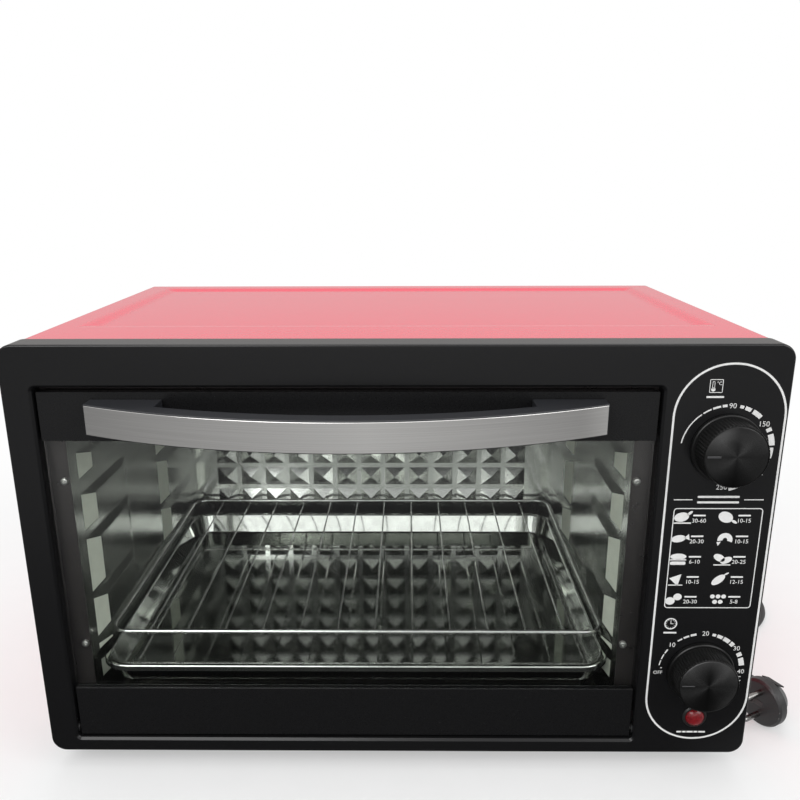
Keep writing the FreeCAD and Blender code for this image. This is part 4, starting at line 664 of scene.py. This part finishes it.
# Painted highlights: alternating light and dark sectors round each knob disc, multiplied into its colour.
PAINTED_FAN_HIGHLIGHTS = [(0.0, 0.45), (0.125, 0.90), (0.25, 0.45), (0.375, 0.90), (0.5, 0.45), (0.625, 0.90),
             (0.75, 0.45), (0.875, 0.90), (1.0, 0.45)]
knob_black = finish("knob moulding", (0.006, 0.006, 0.006), 0.34, grain=1200, tone=0.15, gloss=0.35)
pointer_grey = finish("pointer groove", (0.16, 0.16, 0.165), 0.35, metal=1, grain=(60, 900, 900), tone=0.05)


def ramp(nodes, stops):
    """A colour ramp; its first stop is the one at nought."""
    made = nodes.new("ShaderNodeValToRGB")
    made.color_ramp.elements.remove(made.color_ramp.elements[1])
    made.color_ramp.elements[0].color = (*stops[0][1], 1)
    for place, colour in stops[1:]:
        made.color_ramp.elements.new(place).color = (*colour, 1)
    return made


def mixer(nodes, blend="MIX", **values):
    """A node that mixes two colours."""
    made = nodes.new("ShaderNodeMix")
    made.data_type = "RGBA"
    made.blend_type = blend
    made.inputs["Factor"].default_value = 1
    for socket, colour in values.items():
        made.inputs[socket].default_value = (*colour, 1)
    return made


def spun_metal(name, colour, rough, x, z):
    """Metal turned about the knob's axis, with fine rings that spread its highlights into fans, and sectors
    of painted highlight and painted shade multiplied into its colour.
    """
    made = finish(name, colour, rough, metal=1, grain=500, tone=0.06, relief=0.000002)
    nodes = made.node_tree.nodes
    shader = nodes["Principled BSDF"]
    shader.inputs["Anisotropic"].default_value = 0.85
    grain = shader.inputs["Base Color"].links[0].from_node
    place = added(nodes, "TexCoord")
    centre = added(nodes, "Mapping", Location=(-x, 0, -z))
    rings = added(nodes, "TexWave", Scale=900, Distortion=0.4)
    rings.wave_type = "RINGS"
    rings.rings_direction = "Y"
    shine = added(nodes, "MapRange", To_Min=rough - 0.06, To_Max=rough + 0.06)
    tangent = added(nodes, "Tangent")
    tangent.direction_type = "RADIAL"
    tangent.axis = "Y"
    round_face = added(nodes, "Mapping", Rotation=(math.pi / 2, 0, 0), Location=(-x, z, 0))
    # Painted highlight and shade: a sweep round the centre picks light and dark sectors.
    sweep = added(nodes, "TexGradient")
    sweep.gradient_type = "RADIAL"
    fans = ramp(nodes, [(spot, (tone,) * 3) for spot, tone in PAINTED_FAN_HIGHLIGHTS])
    spun = mixer(nodes, "MULTIPLY")
    wired(made, (place, "Object", centre, "Vector"), (centre, "Vector", rings, "Vector"),
          (rings, "Fac", shine, "Value"), (shine, "Result", shader, "Roughness"),
          (tangent, "Tangent", shader, "Tangent"), (place, "Object", round_face, "Vector"),
          (round_face, "Vector", sweep, "Vector"), (sweep, "Fac", fans, "Fac"), (grain, "Color", spun, "A"),
          (fans, "Color", spun, "B"), (spun, "Result", shader, "Base Color"))
    return made


# The last value is each disc's colour: the same spun aluminium, darker on the temp disc and lighter on the
# time disc, as painted shade and painted light.
for name, body, height, shine in (("temp", "temp_dial", temp_z, 0.09), ("time", "time_dial", time_z, 0.22)):
    spot = (panel_x, panel_front, height)
    side_radius = KNOB_RADIUS - KNOB_TAPER
    skirt, face = KNOB_START + KNOB_SKIRT, KNOB_START + KNOB_REACH
    profile = [(0.0066, KNOB_START), (KNOB_SKIRT_RADIUS, KNOB_START), (KNOB_SKIRT_RADIUS, skirt - 0.0006),
               (KNOB_SKIRT_RADIUS - 0.0006, skirt), (KNOB_RADIUS, skirt), (KNOB_RADIUS, skirt + 0.0010),
               (side_radius + 0.0001, face - 0.0016), (side_radius, face - 0.0010),
               (side_radius - 0.0006, face), (side_radius - KNOB_RIM, face),
               (side_radius - KNOB_RIM - 0.0002, face - KNOB_SINK), (0, face - KNOB_SINK)]
    shell = turned(profile, spot, (0, -1, 0), KNOB_FLUTES * 4)
    for vertex in shell.verts:
        away = Vector((vertex.co.x - panel_x, 0, vertex.co.z - height))
        reach = panel_front - vertex.co.y
        on_side = skirt + 0.0005 < reach < face - 0.0008
        turn = math.degrees(math.atan2(away.z, away.x)) * KNOB_FLUTES / 360
        if on_side and away.length > side_radius - 0.0004 and round((turn % 1) * 4) in (1, 2):
            vertex.co -= away.normalized() * KNOB_FLUTE_DEPTH
    finished(shell, f"{name}_knob_shell", body, "knob_black", knob_black, f"{name}_knob", sharp=40)
    disc_radius = side_radius - KNOB_RIM - 0.0003
    disc_profile = [(0, face - 0.0001), (disc_radius - 0.0006, face - 0.0001),
                    (disc_radius, face - 0.0004), (disc_radius, face - 0.0007), (0, face - 0.0007)]
    disc = turned(disc_profile, spot, (0, -1, 0), 96)
    finished(disc, f"{name}_knob_disc", body, "knob_face",
             spun_metal(f"{name} disc", (shine, shine, shine), 0.27, panel_x, height), f"{name}_knob_cap",
             weigh=False)
    mark = block((panel_x - disc_radius + 0.0012, panel_front - face - 0.00005, height - POINTER_WIDTH / 2),
                 (panel_x - disc_radius + 0.0012 + POINTER_LENGTH, panel_front - face + 0.0003,
                  height + POINTER_WIDTH / 2), 0.0001, 1)
    finished(mark, f"{name}_pointer", body, "", pointer_grey)


# Outer cover. One red enamelled sheet is folded over the top and both sides, with a shallow panel
# pressed into its top and a lip turned in at the back for the back plate's screws.
COVER_BEND, COVER_SHEET, COVER_LIP = 0.0035, 0.0006, 0.0110
PRESS_SIDE, PRESS_FRONT, PRESS_REAR = 0.0210, 0.0605, 0.0160
PRESS_SLOPE, PRESS_DEPTH, PRESS_ROUND = 0.0090, 0.0018, 0.0030
cover_low, cover_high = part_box("outer_cover")
red_enamel = finish("red enamel", (0.84, 0.019, 0.070), 0.20, grain=250, tone=0.04,
                    rough_change=0.04, relief=0.00001, coat=0.6)


def folded_line(shape, half, y, low, top, bend):
    """An upside-down U of edges in the plane at y, its two corners rounded."""
    spots = [(-half, y, low), (-half, y, top), (half, y, top), (half, y, low)]
    corners = [shape.verts.new(spot) for spot in spots]
    edges = [shape.edges.new(pair) for pair in zip(corners, corners[1:])]
    bmesh.ops.bevel(shape, geom=corners[1:3], offset=bend, segments=8, profile=0.5, affect="VERTICES",
                    material=-1)
    return [edge for edge in shape.edges if all(abs(vertex.co.y - y) < 1e-6 for vertex in edge.verts)]


cover = bmesh.new()
front_line = folded_line(cover, cover_high.x, cover_low.y, cover_low.z, cover_high.z, COVER_BEND)
wall = bmesh.ops.extrude_edge_only(cover, edges=front_line)["geom"]
rear_verts = verts_in(wall)
bmesh.ops.translate(cover, vec=(0, cover_high.y - cover_low.y, 0), verts=rear_verts)
rear_line = [edge for edge in cover.edges if edge.is_boundary
             and all(v in set(rear_verts) for v in edge.verts)]
lip = bmesh.ops.extrude_edge_only(cover, edges=rear_line)["geom"]
lip_verts = verts_in(lip)
lip_share = (1 - COVER_LIP / cover_high.x, 1, 1 - COVER_LIP / (cover_high.z - cover_low.z))
bmesh.ops.scale(cover, vec=lip_share, verts=lip_verts, space=Matrix.Translation((0, 0, -cover_low.z)))
faced(cover)
if max(cover.faces, key=lambda face: face.calc_center_median().z).normal.z < 0:
    bmesh.ops.reverse_faces(cover, faces=cover.faces)
cover.normal_update()
for spot, normal in (((cover_high.x - PRESS_SIDE, 0, 0), (1, 0, 0)),
                     ((-cover_high.x + PRESS_SIDE, 0, 0), (1, 0, 0)),
                     ((0, cover_low.y + PRESS_FRONT, 0), (0, 1, 0)),
                     ((0, cover_high.y - PRESS_REAR, 0), (0, 1, 0))):
    top_faces = [face for face in cover.faces if face.normal.z > 0.99]
    around = {part for face in top_faces for part in (*face.verts, *face.edges)}
    bmesh.ops.bisect_plane(cover, geom=[*top_faces, *around], plane_co=spot, plane_no=normal, dist=1e-6)
middle = [face for face in cover.faces if face.normal.z > 0.99
          and abs(face.calc_center_median().x) < 0.02 and abs(face.calc_center_median().y - 0.05) < 0.02]
bmesh.ops.inset_region(cover, faces=middle, thickness=PRESS_SLOPE, depth=-PRESS_DEPTH, use_even_offset=True)
cover.normal_update()
folds = [edge for edge in cover.edges if len(edge.link_faces) == 2
         and 5 < math.degrees(edge.calc_face_angle()) < 20
         and min(vertex.co.y for vertex in edge.verts) > cover_low.y + PRESS_FRONT - 0.001
         and min(vertex.co.z for vertex in edge.verts) > cover_high.z - 0.003
         and max(abs(vertex.co.x) for vertex in edge.verts) < cover_high.x - PRESS_SIDE + 0.001]
bmesh.ops.bevel(cover, geom=folds, offset=PRESS_ROUND, segments=4, profile=0.5, affect="EDGES", material=-1)
bmesh.ops.solidify(cover, geom=cover.faces[:], thickness=COVER_SHEET)
faced(cover)
finished(cover, "red_cover", "cabinet", "cover_red", red_enamel, "outer_cover", sharp=60)


# Screws. Plated pan-head screws with a cross recess hold the cover at the back and sides, the
# feet, and the frame's flange at the mouth of the cavity.
SCREW_HEAD, SCREW_SINK = 0.002, 0.0009
SHANK_RADIUS, SHANK_LENGTH = 0.0018, 0.006
screw_plate = finish("screw plating", (0.66, 0.66, 0.64), 0.30, metal=1, grain=700, tone=0.10)


def screw_head(radius, height, spot, direction):
    """A domed head with a cross recess, standing on a face and pointing along direction."""
    shape = bmesh.new()
    bmesh.ops.create_grid(shape, x_segments=3, y_segments=3, size=1)
    for vertex in shape.verts:
        for axis in (0, 1):
            arm = 0.42 if abs(vertex.co[axis]) > 0.5 else 0.11
            vertex.co[axis] = math.copysign(radius * arm, vertex.co[axis])
    corners = [face for face in shape.faces if min(abs(face.calc_center_median().x),
                                                   abs(face.calc_center_median().y)) > 1e-6]
    bmesh.ops.delete(shape, geom=corners, context="FACES")
    cross = shape.faces[:]
    slot = bmesh.ops.extrude_face_region(shape, geom=cross)["geom"]
    bmesh.ops.delete(shape, geom=cross, context="FACES_ONLY")
    bmesh.ops.translate(shape, vec=(0, 0, -SCREW_SINK), verts=verts_in(slot))
    mouth = [edge for edge in shape.edges if edge.is_boundary]
    ring = bmesh.ops.create_circle(shape, radius=radius * 0.62, segments=20)["verts"]
    ring_edges = list({edge for vertex in ring for edge in vertex.link_edges})
    bmesh.ops.triangle_fill(shape, edges=mouth + ring_edges, use_beauty=True)
    for share, drop in ((0.88, 0.16), (1.0, 0.45), (1.0, 1.0)):
        grown = bmesh.ops.extrude_edge_only(shape, edges=ring_edges)["geom"]
        ring = verts_in(grown)
        ring_edges = [edge for edge in grown if isinstance(edge, bmesh.types.BMEdge)
                      and all(vertex in ring for vertex in edge.verts)]
        for vertex in ring:
            flat = Vector((vertex.co.x, vertex.co.y, 0)).normalized() * radius * share
            vertex.co = (flat.x, flat.y, -height * drop)
    bmesh.ops.translate(shape, vec=(0, 0, height), verts=shape.verts)
    faced(shape)
    turn = Vector((0, 0, 1)).rotation_difference(Vector(direction)).to_matrix().to_4x4()
    return moved(shape, Matrix.Translation(spot) @ turn)


def solid_spots(node):
    """Middle of each separate solid of a CAD piece, with its box."""
    shape = bmesh.new()
    shape.from_mesh(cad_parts[node].data)
    bmesh.ops.remove_doubles(shape, verts=shape.verts, dist=1e-6)
    left = set(shape.verts)
    found = []
    while left:
        group, edge_front = set(), [left.pop()]
        while edge_front:
            vertex = edge_front.pop()
            group.add(vertex)
            for edge in vertex.link_edges:
                other = edge.other_vert(vertex)
                if other in left:
                    left.remove(other)
                    edge_front.append(other)
        low = Vector([min(vertex.co[axis] for vertex in group) for axis in range(3)])
        high = Vector([max(vertex.co[axis] for vertex in group) for axis in range(3)])
        found.append((low, high))
    shape.free()
    return found


for node, direction in (("back_screws", (0, 1, 0)), ("side_screws", (1, 0, 0)),
                        ("window_screws", (0, -1, 0)), ("foot_screws", (0, 0, -1))):
    heads = []
    for low, high in solid_spots(node):
        middle = (low + high) / 2
        toward = Vector(direction)
        if node == "side_screws" and middle.x < 0:
            toward = -toward
        axis = max(range(3), key=lambda place: abs(toward[place]))
        radius = (high - low)[(axis + 1) % 3] / 2
        middle[axis] = high[axis] - SCREW_HEAD if toward[axis] > 0 else low[axis] + SCREW_HEAD
        heads.append(screw_head(radius, SCREW_HEAD, middle, toward))
        shank_profile = [(0, 0), (SHANK_RADIUS, 0.0006), (SHANK_RADIUS, SHANK_LENGTH), (0, SHANK_LENGTH)]
        heads.append(turned(shank_profile, middle - toward * SHANK_LENGTH, toward, 12))
    finished(joined(*heads), f"{node}_heads", "cabinet", "screw_steel", screw_plate, node)


# Door. A sheet of toughened glass stands in two folded black channels; steel pins at its lower
# corners turn in bushes set in the frame.
GLASS_TINT, GLASS_INDEX = (0.955, 0.975, 0.96), 1.45
door_paint = finish("door channel", (0.008, 0.008, 0.0085), 0.28, grain=1500, tone=0.12,
                    rough_change=0.05, relief=0.00001, gloss=0.3)
pin_steel = finish("pin steel", (0.22, 0.215, 0.21), 0.30, metal=1, grain=(60, 900, 900), tone=0.1)
bush_dark = finish("hinge bush", (0.016, 0.016, 0.017), 0.40, grain=(300, 900, 900), tone=0.15, gloss=0.35)
finished(from_node("door_top_trim", 0.0004, 2), "top_channel", "door", "door_black", door_paint,
         "door_top_trim")
finished(from_node("door_bottom_trim", 0.0004, 2), "bottom_channel", "door", "door_black", door_paint,
         "door_bottom_trim")
recover(pin_steel, "hinge_pins")
recover(bush_dark, "hinge_bushes")

pane = bpy.data.materials.new("door glass")
pane.use_nodes = True
pane_nodes = pane.node_tree.nodes
pane_shader = pane_nodes["Principled BSDF"]
pane_shader.inputs["Base Color"].default_value = (*GLASS_TINT, 1)
pane_shader.inputs["Transmission Weight"].default_value = 1
pane_shader.inputs["IOR"].default_value = GLASS_INDEX
pane_place = added(pane_nodes, "TexCoord")
pane_noise = added(pane_nodes, "TexNoise", Scale=18)
pane_smear = added(pane_nodes, "MapRange", To_Min=0.0, To_Max=0.02)
pane_path = added(pane_nodes, "LightPath")
pane_clear = added(pane_nodes, "BsdfTransparent", Color=(*GLASS_TINT, 1))
pane_mix = added(pane_nodes, "MixShader")
wired(pane, (pane_place, "Object", pane_noise, "Vector"), (pane_noise, "Fac", pane_smear, "Value"),
      (pane_smear, "Result", pane_shader, "Roughness"), (pane_path, "Is Shadow Ray", pane_mix, "Fac"),
      (pane_shader, "BSDF", pane_mix, 1), (pane_clear, "BSDF", pane_mix, 2),
      (pane_mix, "Shader", pane_nodes["Material Output"], "Surface"))
finished(from_node("door_glass", 0.0004, 1), "glass_pane", "door", "door_glass", pane, "door_glass",
         sharp=5, weigh=False)


# Handle. A bowed black moulding on two feet, screwed through the door from inside, with a thin
# strip of brushed steel bonded along its front.
handle_black = finish("handle moulding", (0.020, 0.021, 0.024), 0.40, grain=900, tone=0.15)
brushed = finish("brushed steel", (0.86, 0.85, 0.83), 0.09, metal=1, grain=(3, 40, 1600), tone=0.05,
                 rough_change=0.03, relief=0.000003)
finished(from_node("handle_bar", 0.0010, 3), "handle_grip", "door", "handle_black", handle_black,
         "handle_bar")
STRIP_SHARE = (0.995, 1, 0.93)
strip = from_node("handle_face", 0.0003, 2)
strip_low, strip_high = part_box("handle_face")
bmesh.ops.scale(strip, vec=STRIP_SHARE, verts=strip.verts,
                space=Matrix.Translation(-(strip_low + strip_high) / 2))
finished(strip, "handle_strip", "door", "handle_steel", brushed, "handle_face")
recover(screw_plate, "handle_screws")


# Wire rack. Thin bright rods are welded under a thicker wire that is bent into a rounded
# rectangle, all chrome plated.
RACK_CORNER, RACK_WIRE, RACK_ROD, RACK_RODS = 0.0120, 0.0014, 0.00075, 12
RACK_MIDDLE = 0.0020
rack_low, rack_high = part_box("wire_rack")
rack_chrome = finish("rack chrome", (0.80, 0.80, 0.79), 0.16, metal=1, grain=300, tone=0.05,
                     rough_change=0.05)


def wire_ring(left, right, low, high, level, corner, radius):
    """A round wire bent into a rounded rectangle and closed."""
    shape = bmesh.new()
    bmesh.ops.create_circle(shape, radius=radius, segments=16,
                            matrix=Matrix.Translation((left + corner, low, level))
                            @ Matrix.Rotation(math.pi / 2, 4, "Y"))
    line = shape.edges[:]
    runs = (((right - left - 2 * corner), (1, 0, 0), (right - corner, low + corner)),
            ((high - low - 2 * corner), (0, 1, 0), (right - corner, high - corner)),
            ((right - left - 2 * corner), (-1, 0, 0), (left + corner, high - corner)),
            ((high - low - 2 * corner), (0, -1, 0), (left + corner, low + corner)))
    for length, direction, centre in runs:
        grown = bmesh.ops.extrude_edge_only(shape, edges=line)["geom"]
        ends = verts_in(grown)
        bmesh.ops.translate(shape, vec=Vector(direction) * length, verts=ends)
        line = [item for item in grown if isinstance(item, bmesh.types.BMEdge)
                and all(v in ends for v in item.verts)]
        bent = bmesh.ops.spin(shape, geom=line + ends, cent=(*centre, level), axis=(0, 0, 1),
                              dvec=(0, 0, 0), angle=math.pi / 2, steps=8, use_merge=False)["geom_last"]
        ends = verts_in(bent)
        line = [item for item in bent if isinstance(item, bmesh.types.BMEdge)]
    bmesh.ops.remove_doubles(shape, verts=shape.verts, dist=1e-5)
    return faced(shape)


wire_z = rack_high.z - RACK_MIDDLE
rack_parts = [wire_ring(rack_low.x + RACK_MIDDLE, rack_high.x - RACK_MIDDLE, rack_low.y + RACK_MIDDLE,
                        rack_high.y - RACK_MIDDLE, wire_z, RACK_CORNER, RACK_WIRE)]
rack_span = rack_high.x - rack_low.x - 2 * RACK_MIDDLE
for place in range(RACK_RODS):
    x = rack_low.x + RACK_MIDDLE + rack_span * (place + 1) / (RACK_RODS + 1)
    start = rack_low.y + RACK_MIDDLE * 0.6
    length = rack_high.y - rack_low.y - RACK_MIDDLE * 1.2
    rod_profile = [(0, 0), (RACK_ROD * 0.7, 0.0001), (RACK_ROD, 0.0006), (RACK_ROD, length - 0.0006),
                   (RACK_ROD * 0.7, length - 0.0001), (0, length)]
    rack_parts.append(turned(rod_profile, (x, start, wire_z - RACK_WIRE - RACK_ROD * 0.7), (0, 1, 0), 14))
finished(joined(*rack_parts), "rack_wires", "rack", "rack_chrome", rack_chrome, "wire_rack")


# Baking tray. One bright steel sheet drawn into a shallow pan with rounded corners, its rim
# folded out and down.
TRAY_CORNER, TRAY_RIM, TRAY_FOLD, TRAY_DEPTH, TRAY_SHEET = 0.0220, 0.0050, 0.0042, 0.0173, 0.0007
tray_low, tray_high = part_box("baking_tray")
tray_steel = finish("tray steel", (0.70, 0.715, 0.685), 0.065, metal=1, grain=90, tone=0.08,
                    rough_change=0.015, relief=0.0)
pan = bar(tray_low.x, tray_high.x, tray_low.y, tray_high.y, TRAY_CORNER, 0, 8)
floor = pan.faces[:]
for inset, drop in ((TRAY_RIM - 0.0004, 0), (0.0008, 0.0008), (TRAY_RIM - 0.0012, TRAY_DEPTH - 0.0020),
                    (0.0016, 0.0012)):
    bmesh.ops.inset_region(pan, faces=floor, thickness=inset, depth=-drop, use_boundary=True,
                           use_even_offset=True)
hem = bmesh.ops.extrude_edge_only(pan, edges=[edge for edge in pan.edges if edge.is_boundary])["geom"]
bmesh.ops.translate(pan, vec=(0, 0, -TRAY_FOLD), verts=verts_in(hem))
faced(pan)
if max(pan.faces, key=lambda face: face.calc_area()).normal.z < 0:
    bmesh.ops.reverse_faces(pan, faces=pan.faces)
soften(pan, 0.0012, 3, 60, 120)
moved(pan, Matrix.Translation((0, 0, tray_high.z)))
bmesh.ops.solidify(pan, geom=pan.faces[:], thickness=TRAY_SHEET)
faced(pan)
finished(pan, "drawn_pan", "tray", "tray_enamel", tray_steel, "baking_tray", sharp=50)


# Studio. A pale floor that runs out into white, a white surround and four soft lights. Metal and
# glass mirror a greyer room towards the front, as they do where such an oven stands.
FLOOR_HALF, FLOOR_DROP, LAMP_TARGET = 6, 0.0002, (0, 0, 0.12)
ground_shape = bmesh.new()
bmesh.ops.create_grid(ground_shape, x_segments=1, y_segments=1, size=FLOOR_HALF)
bmesh.ops.translate(ground_shape, vec=(0, 0, -FLOOR_DROP), verts=ground_shape.verts)
ground_mesh = bpy.data.meshes.new("studio_floor")
ground_shape.to_mesh(ground_mesh)
ground_shape.free()
ground = bpy.data.objects.new("studio_floor", ground_mesh)
bpy.context.scene.collection.objects.link(ground)
paper = finish("studio paper", (0.84, 0.84, 0.84), 0.85, grain=40, tone=0.01, relief=0.0)
ground_mesh.materials.append(paper)


def maths(nodes, operation, second=0.5, clamp=False):
    """A node that works on two numbers."""
    made = nodes.new("ShaderNodeMath")
    made.operation = operation
    made.use_clamp = clamp
    made.inputs[1].default_value = second
    return made


def sight(owner):
    """Nodes that give 1 once a ray has met a mirror, and 1 where the camera sees straight."""
    nodes = owner.node_tree.nodes
    rays = added(nodes, "LightPath")
    met, straight = maths(nodes, "MINIMUM", 1), maths(nodes, "MAXIMUM")
    plain = maths(nodes, "SUBTRACT", clamp=True)
    wired(owner, (rays, "Glossy Depth", met, 0), (rays, "Is Camera Ray", straight, 0),
          (rays, "Is Transmission Ray", straight, 1), (straight, "Value", plain, 0),
          (met, "Value", plain, 1))
    return met, plain


# The floor's own light: white where the camera sees it far out, and for mirrors a plain neutral
# room of five even tones round the oven, darker close by.
ROOM_TONES = [(0.0, (0.16,) * 3), (0.125, (0.30,) * 3), (0.25, (0.45,) * 3), (0.375, (0.30,) * 3),
              (0.5, (0.16,) * 3)]
nodes = paper.node_tree.nodes
spread = added(nodes, "TexCoord")
reach = added(nodes, "VectorMath")
reach.operation = "LENGTH"
fade = added(nodes, "MapRange", From_Min=0.25, From_Max=0.95, To_Min=0.40)
nearness = added(nodes, "MapRange", From_Min=0.30, From_Max=0.95, To_Min=0.09)
fade.interpolation_type = nearness.interpolation_type = "SMOOTHSTEP"
around = added(nodes, "TexGradient")
around.gradient_type = "RADIAL"
mirrored = ramp(nodes, ROOM_TONES)
front_side = ramp(nodes, [(0.0, (0, 0, 0)), (0.055, (1, 1, 1)), (0.40, (1, 1, 1)), (0.46, (0, 0, 0))])
shaded = mixer(nodes, "MULTIPLY")
room, bounced = mixer(nodes, A=(0.62, 0.62, 0.62)), mixer(nodes, A=(0.45, 0.45, 0.45))
tone = mixer(nodes, B=(1, 1, 1))
met, plain = sight(paper)
share = maths(nodes, "MAXIMUM")
glow, blend = added(nodes, "Emission"), added(nodes, "MixShader")
wired(paper, (spread, "Object", reach, 0), (spread, "Object", around, "Vector"),
      (around, "Fac", front_side, "Fac"), (around, "Fac", mirrored, "Fac"),
      (reach, "Value", nearness, "Value"),
      (mirrored, "Color", shaded, "A"), (nearness, "Result", shaded, "B"),
      (front_side, "Color", room, "Factor"),
      (shaded, "Result", room, "B"), (met, "Value", bounced, "Factor"), (room, "Result", bounced, "B"),
      (bounced, "Result", tone, "A"), (plain, "Value", tone, "Factor"), (tone, "Result", glow, "Color"),
      (reach, "Value", fade, "Value"), (fade, "Result", share, 0), (met, "Value", share, 1),
      (share, "Value", blend, "Fac"), (nodes["Principled BSDF"], "BSDF", blend, 1),
      (glow, "Emission", blend, 2), (blend, "Shader", nodes["Material Output"], "Surface"))

# The surround: white to the camera, softer as light, and a grey room brighter towards its ceiling
# for mirrors.
surround = bpy.data.worlds.new("studio")
surround.use_nodes = True
bpy.context.scene.world = surround
nodes = surround.node_tree.nodes
soft_sky = nodes["Background"]
soft_sky.inputs["Color"].default_value = (1, 1, 1, 1)
soft_sky.inputs["Strength"].default_value = 0.50
white_sky = added(nodes, "Background", Color=(1, 1, 1, 1), Strength=1)
room_sky = added(nodes, "Background")
outlook = added(nodes, "TexCoord")
parts = added(nodes, "SeparateXYZ")
lifted = ramp(nodes, [(0, (0.30,) * 3), (0.25, (0.45,) * 3), (0.50, (0.95,) * 3), (1, (1.0,) * 3)])
behind = added(nodes, "MapRange", From_Min=-0.10, From_Max=0.30)
lighter = mixer(nodes, B=(0.62, 0.60, 0.59))
mirror_mix, camera_mix = added(nodes, "MixShader"), added(nodes, "MixShader")
met, plain = sight(surround)
wired(surround, (outlook, "Generated", parts, "Vector"), (parts, "Z", lifted, "Fac"),
      (lifted, "Color", lighter, "A"), (parts, "Y", behind, "Value"), (behind, "Result", lighter, "Factor"),
      (lighter, "Result", room_sky, "Color"), (met, "Value", mirror_mix, "Fac"),
      (soft_sky, "Background", mirror_mix, 1), (room_sky, "Background", mirror_mix, 2),
      (plain, "Value", camera_mix, "Fac"), (mirror_mix, "Shader", camera_mix, 1),
      (white_sky, "Background", camera_mix, 2), (camera_mix, "Shader", nodes["World Output"], "Surface"))

for name, spot, size, tall, power in (("key", (-0.9, -1.5, 1.6), 1.4, 1.4, 22),
                                      ("fill", (1.3, -0.9, 1.1), 1.2, 1.2, 10),
                                      ("top", (0.0, 0.2, 1.9), 1.6, 1.6, 14),
                                      ("window", (0.0, -1.9, 0.34), 1.7, 0.40, 2.3)):
    lamp_data = bpy.data.lights.new(name, "AREA")
    lamp_data.shape = "RECTANGLE"
    lamp_data.size = size
    lamp_data.size_y = tall
    lamp_data.energy = power
    lamp = bpy.data.objects.new(name, lamp_data)
    lamp.location = spot
    lamp.rotation_euler = (Vector(LAMP_TARGET) - Vector(spot)).to_track_quat("-Z", "Y").to_euler()
    bpy.context.scene.collection.objects.link(lamp)
